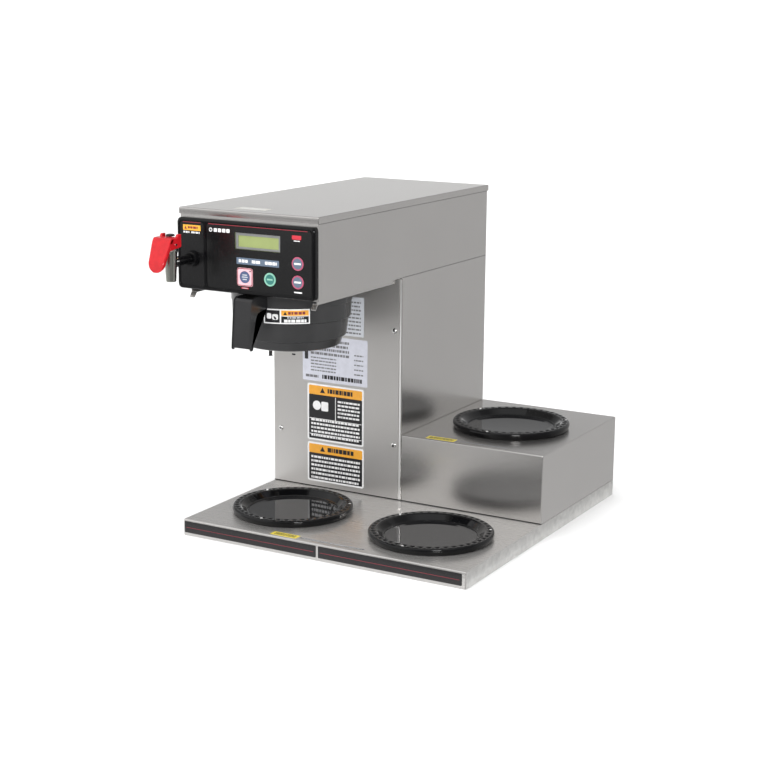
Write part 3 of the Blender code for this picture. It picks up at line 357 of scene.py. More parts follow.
def turned_piece(name, profile, centre, steps, material, replaces=()):
    """A solid that stands upright, from a profile that starts and ends on its axis."""
    bm = bmesh.new()
    turned(bm, profile, centre, steps, closed=False)
    outwards(bm)
    add(name, bm, [material], replaces=replaces)


def bar(bm, outline, low, high, place, index=0, edge=0.0):
    """A closed slab of that outline between two heights over a surface. place turns (u, v,
    height) into a point, and edge rounds the upper rim off."""
    rows = [(outline, low)]
    if edge:
        rows += [(outline, high - edge)]
        rows += [(shrunk(outline, inset), high - edge + rise) for inset, rise in quarter_turn(edge)]
    else:
        rows += [(outline, high)]
    rings = raised(bm, rows, place)
    stitch(bm, rings, index)
    bm.faces.new(rings[-1]).material_index = index
    bm.faces.new(rings[0][::-1]).material_index = index


def quarter_turn(radius, steps=3):
    """How far a round rim has come in and up after each step of its quarter turn."""
    turns = [pi / 2 * k / steps for k in range(1, steps + 1)]
    return [(radius * (1 - cos(a)), radius * sin(a)) for a in turns]


def raised(bm, rows, place):
    """Rings of points from (outline, height) rows."""
    return [[bm.verts.new(place(u, v, height)) for u, v in outline] for outline, height in rows]


def stitch(bm, rings, index=0):
    """Fills the bands between rings of as many points each."""
    for lower, upper in zip(rings, rings[1:]):
        for i in range(len(lower)):
            j = (i + 1) % len(lower)
            bm.faces.new((lower[i], lower[j], upper[j], upper[i])).material_index = index


def shrunk(outline, inset):
    """The outline, which runs anticlockwise, moved inwards."""
    count = len(outline)
    moved = []
    for i, point in enumerate(outline):
        point = Vector(point)
        before = (point - Vector(outline[i - 1])).normalized()
        after = (Vector(outline[(i + 1) % count]) - point).normalized()
        normal = Vector((-before.y - after.y, before.x + after.x)).normalized()
        moved.append(tuple(point + normal * inset / max(0.3, normal.dot((-before.y, before.x)))))
    return moved


def facing_front(y):
    return lambda u, v, height: Vector((u, y - height, v))


def facing_up(z):
    return lambda u, v, height: Vector((u, v, z + height))


def facing_left(x):
    return lambda u, v, height: Vector((x - height, -u, v))


def facing_right(x):
    return lambda u, v, height: Vector((x + height, u, v))


FOLD = 0.0016


def folded_tray(name, low, high, material, replaces, side_material=None):
    """A folded sheet box with round folds, open underneath. side_material, where it is given,
    covers the left and right sides."""
    low, high = Vector(low), Vector(high)
    bm = bmesh.new()
    place = Matrix.Translation((low + high) / 2) @ Matrix.Diagonal((*(high - low), 1))
    bmesh.ops.create_cube(bm, size=1.0, matrix=place)
    bm.normal_update()
    underside = [face for face in bm.faces if face.normal.z < -0.9]
    bmesh.ops.delete(bm, geom=underside, context="FACES")
    for face in bm.faces:
        face.material_index = int(side_material is not None and abs(face.normal.x) > 0.9)
    folds = [e for e in bm.edges if len(e.link_faces) == 2]
    bmesh.ops.bevel(bm, geom=folds, offset=FOLD, segments=4, profile=0.5, affect="EDGES")
    materials = [material, side_material] if side_material else [material]
    add(name, bm, materials, replaces=replaces, angle=50, sheet=True)


# ---- artwork
INK_LIFT = 0.00005


def printed(name, shapes, place, body="frame", slot="overlay_film", start=0.00002):
    """Flat printed shapes, each (outline in mm, ink, layer), stacked by layer on a surface."""
    used = sorted({colour for _, colour, _ in shapes})
    bm = bmesh.new()
    for outline, colour, layer in shapes:
        metres = [(u * MM, v * MM) for u, v in outline]
        top = start + (layer + 1) * INK_LIFT
        bar(bm, metres, start, top, place, used.index(colour))
    add(name, bm, [INKS[colour] for colour in used], body=body)


def dashes(left, right, top, rows, pitch, height, seed, colour, layer):
    """Rows of short bars that stand for a block of small print."""
    rng = random.Random(seed)
    shapes = []
    for row in range(rows):
        z = top - row * pitch
        x = left
        while x < right - 1.0:
            width = min(rng.uniform(1.6, 6.0), right - x)
            shapes.append((rectangle(x, z - height, x + width, z), colour, layer))
            x += width + rng.uniform(0.7, 1.2)
    return shapes


def moved(shapes, across, along):
    """The shapes, in millimetres, moved by across and along in metres."""
    result = []
    for outline, colour, layer in shapes:
        result.append(([(u + across / MM, v + along / MM) for u, v in outline], colour, layer))
    return result


def turned_round(shapes):
    """The shapes as they run on the opposite side of the object."""
    return [([(-u, v) for u, v in outline][::-1], colour, layer) for outline, colour, layer in shapes]


# ---- base and warmers
STRIP_SPANS = {"left": (0.0020, 0.1997), "right": (0.2032, 0.4007)}
STRIP_LOW, STRIP_HIGH, STRIP_THICKNESS = 0.0036, 0.0186, 0.0007


def make_base():
    low, high = (LEFT, FRONT, 0), (RIGHT, BACK, BASE_TOP)
    folded_tray("base_shell", low, high, STEEL_TOP, ["base_tray"], SIDE_STEEL)
    for side, (start, end) in STRIP_SPANS.items():
        bm = bmesh.new()
        outline = rectangle(LEFT + start, STRIP_LOW, LEFT + end, STRIP_HIGH, 0.0012)
        bar(bm, outline, 0.0, STRIP_THICKNESS, facing_front(FRONT), edge=0.0002)
        add(f"strip_{side}", bm, [STRIP], replaces=[f"base_strip_{side}"])
        line = rectangle((LEFT + start) / MM + 3, 10.3, (LEFT + end) / MM - 3, 10.9)
        place = facing_front(FRONT - STRIP_THICKNESS)
        printed(f"strip_line_{side}", [(line, "dark_red", 0)], place)


RING_PROFILE = (
    (0.0776, 0.0003), (0.0789, 0.0058), (0.0785, 0.0077), (0.0770, 0.0089), (0.0742, 0.0092),
    (0.0690, 0.0092), (0.0668, 0.0082), (0.0603, 0.0023), (0.0585, 0.0018), (0.0585, 0.0003),
)
RING_CREST = 0.0088
RING_CROWN = ((0.0756, 0.00915), *[(radius, 0.0092) for radius in (0.0748, 0.0732, 0.0716, 0.0704)])
RIBS = 45
RIB_RADIUS, RIB_HALF_LENGTH, RIB_DEPTH = 0.0728, 0.0032, 0.0013
DISH = (
    (0.0, 0.0013), (0.0500, 0.0013), (0.0545, 0.0016), (0.0575, 0.0018), (0.0582, 0.0014),
    (0.0582, 0.0006), (0.0, 0.0006),
)
STUD = ((0.0, 0.0095), (0.0012, 0.0094), (0.0020, 0.0089), (0.0022, 0.0080), (0.0, 0.0080))
STUD_RADIUS = 0.0743
STUD_ANGLES = (30, 150, 270)


def ring_profile(base):
    """The ring's section, with extra points along its crown to carry the ribs."""
    points = filleted(RING_PROFILE, 0.0016, 4)
    low = [p for p in points if base + p[1] <= base + RING_CREST]
    crown = [p for p in points if p not in low] + list(RING_CROWN)
    first = next(i for i, p in enumerate(points) if p not in low)
    profile = low[:first] + sorted(crown, key=lambda p: -p[0]) + low[first:]
    return [(radius, base + height) for radius, height in profile]


def rib(angle, radius, z, base):
    """The height of the ring's crown, which is lower between its ribs."""
    crown = max(0.0, 1 - abs(radius - RIB_RADIUS) / RIB_HALF_LENGTH) * (z - base > 0.0085)
    wave = 0.5 - 0.5 * cos(RIBS * angle)
    return z - RIB_DEPTH * crown * (1 - max(0.0, min(1.0, (wave - 0.25) / 0.35)))


def make_warmer(number, x, y, z):
    bm = bmesh.new()
    turned(bm, ring_profile(z), (x, y), 360, height=lambda a, r, h: rib(a, r, h, z))
    outwards(bm)
    add(f"ring_{number}", bm, [GLOSS], replaces=[f"warmer_ring_{number}"])
    dish = [(radius, z + height) for radius, height in DISH]
    replaced = [f"warmer_plate_{number}"]
    turned_piece(f"plate_{number}", dish, (x, y), 96, ENAMEL, replaced)
    # The studs are real rivet heads; their lighter steel paints in their glints.
    stud = [(radius, z + height) for radius, height in STUD]
    for i, degrees in enumerate(STUD_ANGLES, 1):
        a = radians(degrees)
        centre = (x + STUD_RADIUS * cos(a), y + STUD_RADIUS * sin(a))
        turned_piece(f"ring_{number}_stud_{i}", stud, centre, 20, STEEL_HIGHLIGHT)


def make_rear_box():
    low = (COLUMN_RIGHT + 0.0003, COLUMN_FRONT, BASE_TOP + 0.0003)
    folded_tray("rear_box", low, (RIGHT, BACK, BOX_TOP), STEEL_X, ["rear_warmer_box"])


def make_seams():
    """The dark joint lines where the column and the rear box stand on the base."""
    low, high = BASE_TOP + 0.0001, BASE_TOP + 0.0011
    front = COLUMN_FRONT - 0.0003
    for name, left, right in (("column", LEFT, COLUMN_RIGHT), ("box", COLUMN_RIGHT, RIGHT)):
        bm = bmesh.new()
        outer = rectangle(left + 0.0001, front, right - 0.0001, BACK - 0.0002, 0.0012, 3)
        bar(bm, outer, 0.0, high - low, facing_up(low))
        add(f"{name}_seam", bm, [GLOSS])


# ---- column and head
COVER_SPAN = (LEFT + 0.0006, LEFT + 0.1960)
SCREWS = ((0.0112, 0.0970), (0.1894, 0.0965), (0.0112, 0.2508), (0.1894, 0.2508))


LIP = 0.0043  # the side sheet's edge beside the cover
SCREW_RADIUS, SCREW_HEIGHT = 0.0038, 0.0022
SCREW_DOME = ((1.0, 0.0), (0.98, 0.35), (0.86, 0.68), (0.62, 0.90), (0.30, 1.0))
SCREW_SIDES = 32
CROSS_HALF_LENGTH, CROSS_HALF_WIDTH = 1.5, 0.42


def make_column():
    low, high = BASE_TOP + 0.0003, COLUMN_TOP
    behind_cover = COLUMN_FRONT + SHEET + 0.0003
    path = [
        (LEFT + 0.018, behind_cover),
        (LEFT, behind_cover),
        (LEFT, BACK),
        (COLUMN_RIGHT, BACK),
        (COLUMN_RIGHT, COLUMN_FRONT),
        (COLUMN_RIGHT - LIP, COLUMN_FRONT),
        (COLUMN_RIGHT - LIP, behind_cover),
        (COLUMN_RIGHT - 0.018, behind_cover),
    ]
    path = filleted(path, 0.0014, 4, closed=False)
    bm = bmesh.new()
    feet, tops = [[bm.verts.new((x, y, z)) for x, y in path] for z in (low, high)]
    for i in range(len(path) - 1):
        bm.faces.new((feet[i], tops[i], tops[i + 1], feet[i + 1]))
    add("column_sides", bm, [STEEL_Z], replaces=["column_shell"], angle=50, sheet=True)

    bm = bmesh.new()
    outline = rectangle(COVER_SPAN[0], low, COVER_SPAN[1], COLUMN_TOP - 0.001, 0.0006, 2)
    bar(bm, outline, 0.0, SHEET, facing_front(COLUMN_FRONT + SHEET), edge=0.0004)
    add("column_cover", bm, [STEEL_COVER], replaces=["column_front_cover"], angle=50)
    # a thin strip of lighter steel down the side sheet's edge beside the cover: a painted highlight
    bm = bmesh.new()
    left, right = COLUMN_RIGHT - 0.0037, COLUMN_RIGHT - 0.0012
    edge = rectangle(left, low + 0.0010, right, COLUMN_TOP - 0.0020, 0.0004, 2)
    place = facing_front(COLUMN_FRONT)
    bar(bm, edge, 0.0, 0.00012, place)
    add("column_edge_highlight", bm, [STEEL_HIGHLIGHT])
    # the access slot is a black print on the cover: painted shade for its opening
    slot = rectangle(LEFT / MM + 29.4, 201.5, LEFT / MM + 35.4, 203.7, 1.05)
    printed("cover_slot", [(slot, "black", 0)], place, slot="stainless_steel")
    for i, (dx, z) in enumerate(SCREWS, 1):
        pan_screw(f"cover_screw_{i}", place, LEFT + dx, z, replaces=[f"column_screw_{i}"])


def pan_screw(name, place, u, v, replaces=()):
    """A domed head with a cross recess."""
    bm = bmesh.new()
    rows = []
    for share, rise in SCREW_DOME:
        rows.append((disc(u, v, SCREW_RADIUS * share, SCREW_SIDES), SCREW_HEIGHT * rise))
    rings = raised(bm, rows, place)
    stitch(bm, rings)
    top = bm.faces.new(rings[-1])
    bm.faces.new(rings[0][::-1])
    cross = bmesh.ops.poke(bm, faces=[top])
    for vert in cross["verts"]:
        vert.co = place(u, v, SCREW_HEIGHT * 0.45)
    outwards(bm)
    add(name, bm, [CHROME], replaces=replaces)
    # the cross recess: black bars that paint the shade inside it
    bm = bmesh.new()
    long, short = CROSS_HALF_LENGTH, CROSS_HALF_WIDTH
    for half_u, half_v in ((short, long), (long, short)):
        shape = rectangle(-half_u, -half_v, half_u, half_v)
        shape = [(u + x * MM, v + z * MM) for x, z in shape]
        bar(bm, shape, SCREW_HEIGHT * 0.80, SCREW_HEIGHT * 1.005, place)
    outwards(bm)
    add(name + "_drive_shade", bm, [INKS["black"]])


def make_head():
    bm = bmesh.new()
    corners = [(LEFT, HEAD_FRONT), (COLUMN_RIGHT, HEAD_FRONT), (COLUMN_RIGHT, BACK), (LEFT, BACK)]
    path = filleted(corners, 0.0014, 4)
    lows = [HEAD_NOTCH_Z if y > HEAD_NOTCH_Y else HEAD_BOTTOM for x, y in path]
    feet = [bm.verts.new((x, y, z)) for (x, y), z in zip(path, lows)]
    tops = [bm.verts.new((x, y, HEAD_TOP)) for x, y in path]
    for i, foot in enumerate(feet):
        j = (i + 1) % len(feet)
        if lows[i] == lows[j]:
            bm.faces.new((foot, feet[j], tops[j], tops[i]))
        else:
            step_side(bm, foot, feet[j], tops[i], tops[j])
    add("head_casing", bm, [STEEL_Y], replaces=["head_shell"], angle=50, sheet=True)
    low = (LEFT - LID_OVERHANG, HEAD_FRONT - LID_OVERHANG, LID_BOTTOM)
    high = (COLUMN_RIGHT + LID_OVERHANG, BACK + LID_OVERHANG, LID_FACE)
    folded_tray("lid", low, high, STEEL_Y, ["top_lid"])


def step_side(bm, low_a, low_b, high_a, high_b):
    """A side of the head whose lower edge steps up behind the rails."""
    x = low_a.co.x
    lower = bm.verts.new((x, HEAD_NOTCH_Y, HEAD_BOTTOM))
    upper = bm.verts.new((x, HEAD_NOTCH_Y, HEAD_NOTCH_Z))
    top = bm.verts.new((x, HEAD_NOTCH_Y, HEAD_TOP))
    if low_a.co.y < HEAD_NOTCH_Y:
        bm.faces.new((low_a, lower, upper, top, high_a))
        bm.faces.new((upper, low_b, high_b, top))
    else:
        bm.faces.new((low_a, upper, top, high_a))
        bm.faces.new((upper, lower, low_b, high_b, top))


# heights of the dark joint between column and head, and of the band of painted shadow under the lid's
# lip
JOINT_MM, LID_SHADOW_MM = (321.7, 322.3), (412.6, 413.5)


def make_side_seams_and_shade():
    """The joint between column and head, and a band of painted shadow under the lid's lip."""
    end = BACK / MM - 1
    seams_and_shade = [
        (rectangle(COLUMN_FRONT / MM, JOINT_MM[0], end, JOINT_MM[1]), "seam", 0),
        (rectangle(HEAD_FRONT / MM + 1, LID_SHADOW_MM[0], end, LID_SHADOW_MM[1]), "seam", 0),
    ]
    on_steel = {"slot": "stainless_steel", "start": 0.0001}
    printed("right_seams_and_shade", seams_and_shade, facing_right(COLUMN_RIGHT), **on_steel)
    printed("left_seams_and_shade", turned_round(seams_and_shade), facing_left(LEFT), **on_steel)


def on_back(u, v, height):
    """u from the column's right edge as the front sees it, v up and height out of the back."""
    return Vector((COLUMN_RIGHT - u, BACK + height, v))


def make_back():
    """The joint, the painted shadow under the lid's lip, the screws and the rating label of the column's
    back.
    """
    # a dark joint line, and a painted shadow under the lid's lip
    shapes = [(rectangle(1.5, low, 199.1, high), "seam", 0) for low, high in (JOINT_MM, LID_SHADOW_MM)]
    shapes += [(rectangle(70, 120, 132, 162, 1.2), "plate", 0)]
    shapes += dashes(74, 128, 158, 3, 5.0, 2.4, 51, "grey", 1)
    shapes += dashes(74, 116, 141, 4, 4.4, 1.6, 52, "grey", 1)
    printed("back_print", shapes, on_back, slot="stainless_steel", start=0.0001)
    spots = [(dx, z) for z in (0.033, 0.170, 0.300, 0.395) for dx in (0.010, 0.1906)]
    for i, (dx, z) in enumerate(spots, 1):
        pan_screw(f"back_screw_{i}", on_back, dx, z)


# ---- front panel
CONTROL_SPAN = (LEFT + 0.0446, LEFT + 0.1962)
FAUCET_SPAN = (LEFT + 0.0048, LEFT + 0.0404)
RECESS_BOTTOM, RECESS_TOP = 0.3258, 0.4060
DISPLAY_LOW, DISPLAY_HIGH = (LEFT + 0.0866, 0.3765), (LEFT + 0.1518, 0.3968)
BREW_KEY, POWER_KEY = (100.7, 343.1), (136.9, 343.1)
REAR_KEY, FRONT_KEY = (176.4, 365.2), (176.4, 343.1)


def on_panel(shapes):
    """Moves shapes from millimetres off the panel's left edge to the object's own x."""
    return moved(shapes, LEFT, 0)


def frame_face(bm, outer, holes, place, depth, edge):
    """A flat frame with round rims: the outer wall, the front face and each hole's wall."""
    rows = [(outer, -depth), (outer, -edge)]
    rows += [(shrunk(outer, inset), -edge + rise) for inset, rise in quarter_turn(edge)]
    rings = raised(bm, rows, place)
    stitch(bm, rings)
    loops = [rings[-1]]
    for hole, hole_depth, hole_edge in holes:
        rows = [(shrunk(hole, -hole_edge), 0.0)]
        rows += [(shrunk(hole, rise - hole_edge), -drop) for drop, rise in quarter_turn(hole_edge)]
        rows.append((hole, -hole_depth))
        rings = raised(bm, rows, place)
        stitch(bm, [ring[::-1] for ring in rings])
        loops.append(rings[0])
    edges = []
    for loop in loops:
        for a, b in zip(loop, loop[1:] + loop[:1]):
            edges.append(bm.edges.get((a, b)) or bm.edges.new((a, b)))
    bmesh.ops.triangle_fill(bm, edges=edges, use_beauty=True)


def make_bezel():
    bm = bmesh.new()
    outer = rectangle(LEFT, PANEL_BOTTOM, COLUMN_RIGHT, PANEL_TOP, PANEL_CORNER, 10)
    holes = []
    for start, end in (CONTROL_SPAN, FAUCET_SPAN):
        recess = rectangle(start, RECESS_BOTTOM, end, RECESS_TOP, RECESS_CORNER, 8)
        holes.append((recess, 0.0030, 0.0006))
    frame_face(bm, outer, holes, facing_front(PANEL_FRONT), 0.0079, 0.0028)
    outwards(bm)
    add("panel_bezel", bm, [GLOSS], replaces=["front_bezel"], angle=40)


def make_panel_print():
    spans = ((9.5, 36.0), (47.5, 190.0))
    lines = [(rectangle(start, 404.2, end, 404.7), "line", 0) for start, end in spans]
    banner = [(rectangle(88.7, 358.5, 150.0, 366.6, 0.6), "slate", 0)]
    for start, end in ((92, 105), (111, 124), (130, 147)):
        banner += dashes(start, end, 364.4, 1, 3, 3.6, start, "white", 1)
    small = [
        (rectangle(168.5, 393.9, 181.5, 398.9, 1.0), "red", 0),
        (rectangle(171, 391.8, 179.5, 392.8), "white", 0),
        (rectangle(171.3, 330.0, 182.3, 331.6), "white", 0),
        (rectangle(95.5, 328.8, 106.0, 330.4), "red", 0),
        (rectangle(97.0, 329.3, 104.5, 329.9), "pale", 1),
    ]
    emblem = [(disc(51.0, 397.4, 2.5), "white", 0), (disc(51.0, 397.4, 1.4), "black", 1)]
    for i in range(4):
        left = 55.6 + 6.2 * i
        emblem.append((rectangle(left, 395.2, left + 4.8, 399.6, 0.8), "white", 0))
    place = facing_front(FILM_FRONT)
    printed("panel_print", on_panel(lines + banner + small + emblem), place)
    tag = [(rectangle(9.6, 394.4, 36.0, 401.2, 0.6), "amber", 0)]
    tag += dashes(17.0, 33.5, 399.4, 1, 2, 2.8, 3, "dark_red", 1)
    tag += [([(11.6, 396.0), (15.2, 396.0), (13.4, 399.8)], "dark_red", 1)]
    tag += dashes(10.0, 19.0, 393.2, 1, 2, 2.2, 4, "white", 0)
    tag += dashes(22.0, 35.5, 393.2, 1, 2, 2.2, 6, "white", 0)
    printed("faucet_tag", on_panel(tag), place)


def make_key_print():
    place = facing_front(KEY_FRONT)
    x, z = BREW_KEY
    brew = [
        (rectangle(x - 10.9, z - 10.7, x + 10.9, z + 10.7, 2.6), "dark_red", 0),
        (rectangle(x - 9.9, z - 9.8, x + 9.9, z + 9.8, 2.2), "pink", 1),
        (disc(x, z, 7.4), "navy", 2),
        (rectangle(x - 3.4, z + 2.0, x + 3.4, z + 3.2), "pale", 3),
        (rectangle(x - 4.2, z - 0.6, x + 4.2, z + 0.6), "pale", 3),
        (rectangle(x - 3.0, z - 3.4, x + 3.0, z - 2.2), "pale", 3),
        (disc(x + 7.9, z + 7.6, 1.0, 16), "black", 2),
    ]
    printed("brew_key_print", on_panel(brew), place, "brew_key", "pink_key")
    power = round_key(POWER_KEY, 6.2, 4.0, 1.0, ("mint", "teal", "mint"))
    printed("power_key_print", on_panel(power), place, "power_key", "green_key")
    for body, spot in (("rear_warmer_key", REAR_KEY), ("front_warmer_key", FRONT_KEY)):
        shapes = round_key(spot, 6.5, 4.6, 1.1, ("magenta", "slate", "white"))
        printed(f"{body}_print", on_panel(shapes), place, body, "blue_grey_key")


def round_key(spot, inner_radius, half_length, half_height, colours):
    """A ring around a disc with a bar across its middle."""
    x, z = spot
    dash = rectangle(x - half_length, z - half_height, x + half_length, z + half_height)
    outlines = (disc(x, z, 8.0), disc(x, z, inner_radius), dash)
    return [(outline, colour, layer) for layer, (outline, colour) in enumerate(zip(outlines, colours))]


def make_display():
    bm = bmesh.new()
    x0, z0 = DISPLAY_LOW
    x1, z1 = DISPLAY_HIGH
    outer = rectangle(x0 + 0.0003, z0 + 0.0003, x1 - 0.0003, z1 - 0.0003)
    opening = rectangle(x0 + 0.0040, z0 + 0.0030, x1 - 0.0030, z1 - 0.0035, 0.0006, 2)
    place = facing_front(PANEL_FRONT + 0.0016)
    frame_face(bm, outer, [(opening, 0.0008, 0.0003)], place, 0.0008, 0.0002)
    outwards(bm)
    add("display_frame", bm, [INKS["frame"]])
    bm = bmesh.new()
    glass = rectangle(x0 + 0.0010, z0 + 0.0010, x1 - 0.0010, z1 - 0.0010)
    bar(bm, glass, 0.0, 0.0006, facing_front(PANEL_FRONT + 0.0030), edge=0.0001)
    add("display_glass", bm, [DISPLAY], replaces=["display_window"])


# ---- faucet
BARREL = (
    (0.0, 0.3800), (0.0080, 0.3800), (0.0090, 0.3792), (0.0090, 0.3745), (0.0082, 0.3718),
    (0.0080, 0.3690), (0.0062, 0.3385), (0.0056, 0.3372), (0.0030, 0.3372), (0.0026, 0.3380),
    (0.0026, 0.3500), (0.0, 0.3500),
)
CAP = (
    (0.0, 0.3866), (0.0080, 0.3866), (0.0090, 0.3860), (0.0092, 0.3850), (0.0092, 0.3812),
    (0.0088, 0.3803), (0.0, 0.3803),
)
SHANK_BACK = HEAD_FRONT + 0.030 - FAUCET_Y
NUT_BACK = FILM_FRONT - 0.0003 - FAUCET_Y
BOSS = (
    (0.0, 0.0030), (0.0062, 0.0030), (0.0066, 0.0036), (0.0066, 0.0094), (0.0060, 0.0100), (0.0, 0.0100),
)
SHANK = (
    (0.0, 0.0103), (0.0060, 0.0103), (0.0066, 0.0110), (0.0066, 0.0158), (0.0060, 0.0164),
    (0.0056, 0.0170), (0.0056, SHANK_BACK), (0.0, SHANK_BACK),
)
NUT = (
    (0.0060, NUT_BACK - 0.0070), (0.0078, NUT_BACK - 0.0070), (0.0088, NUT_BACK - 0.0060),
    (0.0101, NUT_BACK - 0.0012), (0.0102, NUT_BACK), (0.0060, NUT_BACK),
)


def make_faucet():
    centre = (FAUCET_X, FAUCET_Y)
    barrel = filleted(BARREL, 0.0006, 4, closed=False)
    turned_piece("faucet_barrel", barrel, centre, 64, SATIN, ["faucet_body"])
    lying_piece("faucet_boss", BOSS, CHROME)
    lying_piece("faucet_stub", SHANK, GLOSS, ["faucet_shank"])
    lying_piece("shank_nut", NUT, GLOSS, ["faucet_nut"], closed=True)
    turned_piece("faucet_cap", CAP, centre, 48, BLACK, ["faucet_bonnet"])


def lying_piece(name, profile, material, replaces=(), closed=False):
    """A solid on the shank's line: profile is (radius, distance behind the faucet's axis)."""
    bm = bmesh.new()
    turned(bm, profile, (0, 0), 48, closed=closed)
    bmesh.ops.rotate(bm, verts=bm.verts, matrix=Matrix.Rotation(radians(-90), 3, "X"))
    bmesh.ops.translate(bm, verts=bm.verts, vec=(FAUCET_X, FAUCET_Y, SHANK_Z))
    outwards(bm)
    add(name, bm, [material], replaces=replaces)


PADDLE_END = 0.0112
PADDLE_BOTTOM, PADDLE_TOP = 0.3519, 0.3905
PADDLE_NECK_Z = 0.3516 + PADDLE_END
PADDLE_TOP_HALF = 0.0135
PADDLE_WALL = 0.0024
PADDLE_BEND_Z, PADDLE_REACH = 0.3633, 0.0298
WIDENING = 0.0028 / 0.0272
LEAN_BELOW, LEAN_ABOVE = 0.0012 / 0.0133, 0.0128 / 0.0275
HANDLE_CROWN = ((-0.0026, 0.3925), (-0.0158, 0.3921), (-0.0186, 0.3872))
EAR = (
    (0.0040, 0.3800), (0.0040, 0.3956), (-0.0014, 0.3956), (-0.0042, 0.3920), (-0.0152, 0.3918),
    (-0.0174, 0.3890), (-0.0198, 0.3845), (-0.0168, 0.3772), (-0.0040, 0.3790),
)
EAR_THICKNESS = 0.0034


def paddle_half(z):
    """Half the handle's width at a height: it leans in and ends in a half round."""
    if z < PADDLE_NECK_Z:
        return sqrt(max(0.0, PADDLE_END**2 - (PADDLE_NECK_Z - z) ** 2))
    return min(PADDLE_TOP_HALF, PADDLE_END + (z - PADDLE_NECK_Z) * WIDENING)


def paddle_front(z):
    """How far the paddle's front stands before the faucet's axis at a height."""
    if z < PADDLE_BEND_Z:
        return PADDLE_REACH + (PADDLE_BEND_Z - z) * LEAN_BELOW
    return PADDLE_REACH - (z - PADDLE_BEND_Z) * LEAN_ABOVE


def paddle_section(z):
    """The paddle's outline at a height, as (across, depth): a front wall between two flanges."""
    half = paddle_half(z)
    flange = 0.0032 + 0.0032 * min(1.0, (z - PADDLE_BOTTOM) / 0.0110)
    below_neck = max(0.0, PADDLE_NECK_Z - z)
    pocket = sqrt(max(0.0, (PADDLE_END - PADDLE_WALL) ** 2 - below_neck**2))
    pocket = max(0.0001, min(half - PADDLE_WALL, pocket))
    floor = PADDLE_WALL if pocket > 0.0010 else flange - 0.0002
    corners = [(-half, flange), (-half, 0), (half, 0), (half, flange)]
    corners += [(pocket, flange), (pocket, floor), (-pocket, floor), (-pocket, flange)]
    return filleted(corners, 0.0012 if half > 0.004 else 0.0004, 4)


def make_handle():
    bm = bmesh.new()
    loops = []
    steps = 40
    for i in range(steps + 1):
        z = PADDLE_BOTTOM + (PADDLE_TOP - PADDLE_BOTTOM) * (i / steps) ** 1.6
        front = FAUCET_Y - paddle_front(z)
        section = paddle_section(z)
        loops.append([bm.verts.new((FAUCET_X + u, front + depth, z)) for u, depth in section])
    stitch(bm, loops)
    bm.faces.new(loops[0])
    bm.faces.new(loops[-1])

    outer = filleted(HANDLE_CROWN, 0.0030, 8, closed=False)
    last = len(outer) - 1
    inner = [(y + 0.0006 + 0.0016 * i / last, z - 0.0026) for i, (y, z) in enumerate(outer)]
    crown = [(y + FAUCET_Y, z) for y, z in outer + inner[::-1]]
    half = PADDLE_TOP_HALF - 0.0006
    bar(bm, crown[::-1], -half, half, facing_right(FAUCET_X))
    ear = filleted([(y + FAUCET_Y, z) for y, z in EAR], 0.0011, 4)
    reach = PADDLE_TOP_HALF - EAR_THICKNESS
    for place in (facing_backwards(FAUCET_X - reach), facing_right(FAUCET_X + reach)):
        bar(bm, ear, 0.0, EAR_THICKNESS, place, edge=0.0008)
    outwards(bm)
    replaced = ["faucet_handle"]
    add("handle_paddle", bm, [RED], "faucet_handle", replaces=replaced, angle=50)


def facing_backwards(x):
    """Like facing_right, but with its height towards the left."""
    return lambda u, v, height: Vector((x - height, u, v))


# ---- brew funnel
FUNNEL_PROFILE = (
    (0.0790, 0.3190), (0.0790, 0.3166), (0.0772, 0.3150), (0.0768, 0.3024), (0.0760, 0.3016),
    (0.0752, 0.2822), (0.0722, 0.2806), (0.0694, 0.2580), (0.0652, 0.2562), (0.0624, 0.2462),
    (0.0594, 0.2448), (0.0070, 0.2440), (0.0066, 0.2366), (0.0040, 0.2366), (0.0040, 0.2475),
    (0.0590, 0.2500), (0.0612, 0.2585), (0.0668, 0.2602), (0.0697, 0.2830), (0.0728, 0.2846),
    (0.0738, 0.3034), (0.0746, 0.3190),
)
WING_HALF_WIDTH, WING_BOTTOM, WING_TOP = 0.0908, 0.3160, 0.3184
WING_CLEARANCE = 0.0765
FOOT_RADIUS, FOOT_BOTTOM, FOOT_TOP = 0.028, 0.2285, 0.2455
FOOT_ANGLES = (-17, 103, 223)
FOOT_HALF_LENGTH, FOOT_HALF_WIDTH = 0.0022, 0.0014
GRIP_HALF_WIDTH, GRIP_EDGE = 0.0132, 0.0022


def make_funnel():
    bm = bmesh.new()
    turned(bm, filleted(FUNNEL_PROFILE, 0.0009, 3), (BREW_X, BREW_Y), 128)
    place = facing_up(WING_BOTTOM)
    for sign in (-1, 1):
        bar(bm, wing_outline(sign), 0.0, WING_TOP - WING_BOTTOM, place, edge=0.0006)
    for degrees in FOOT_ANGLES:
        outline = foot_outline(radians(degrees))
        bar(bm, outline, 0.0, FOOT_TOP - FOOT_BOTTOM, facing_down(FOOT_TOP), edge=0.0005)
    outwards(bm)
    add("funnel_bowl", bm, [BOWL], "brew_funnel", replaces=["brew_funnel"])


def wing_outline(sign):
    """The flat wing on one side: it starts outside the bowl's opening."""
    ends = sorted((BREW_X + sign * 0.0600, BREW_X + sign * WING_HALF_WIDTH))
    wing = densified(rectangle(ends[0], BREW_Y - 0.045, ends[1], BREW_Y + 0.060, 0.004))
    clear = [sqrt(max(0.0, WING_CLEARANCE**2 - (v - BREW_Y) ** 2)) for _, v in wing]
    if sign > 0:
        return [(max(u, BREW_X + away), v) for (u, v), away in zip(wing, clear)]
    return [(min(u, BREW_X - away), v) for (u, v), away in zip(wing, clear)]


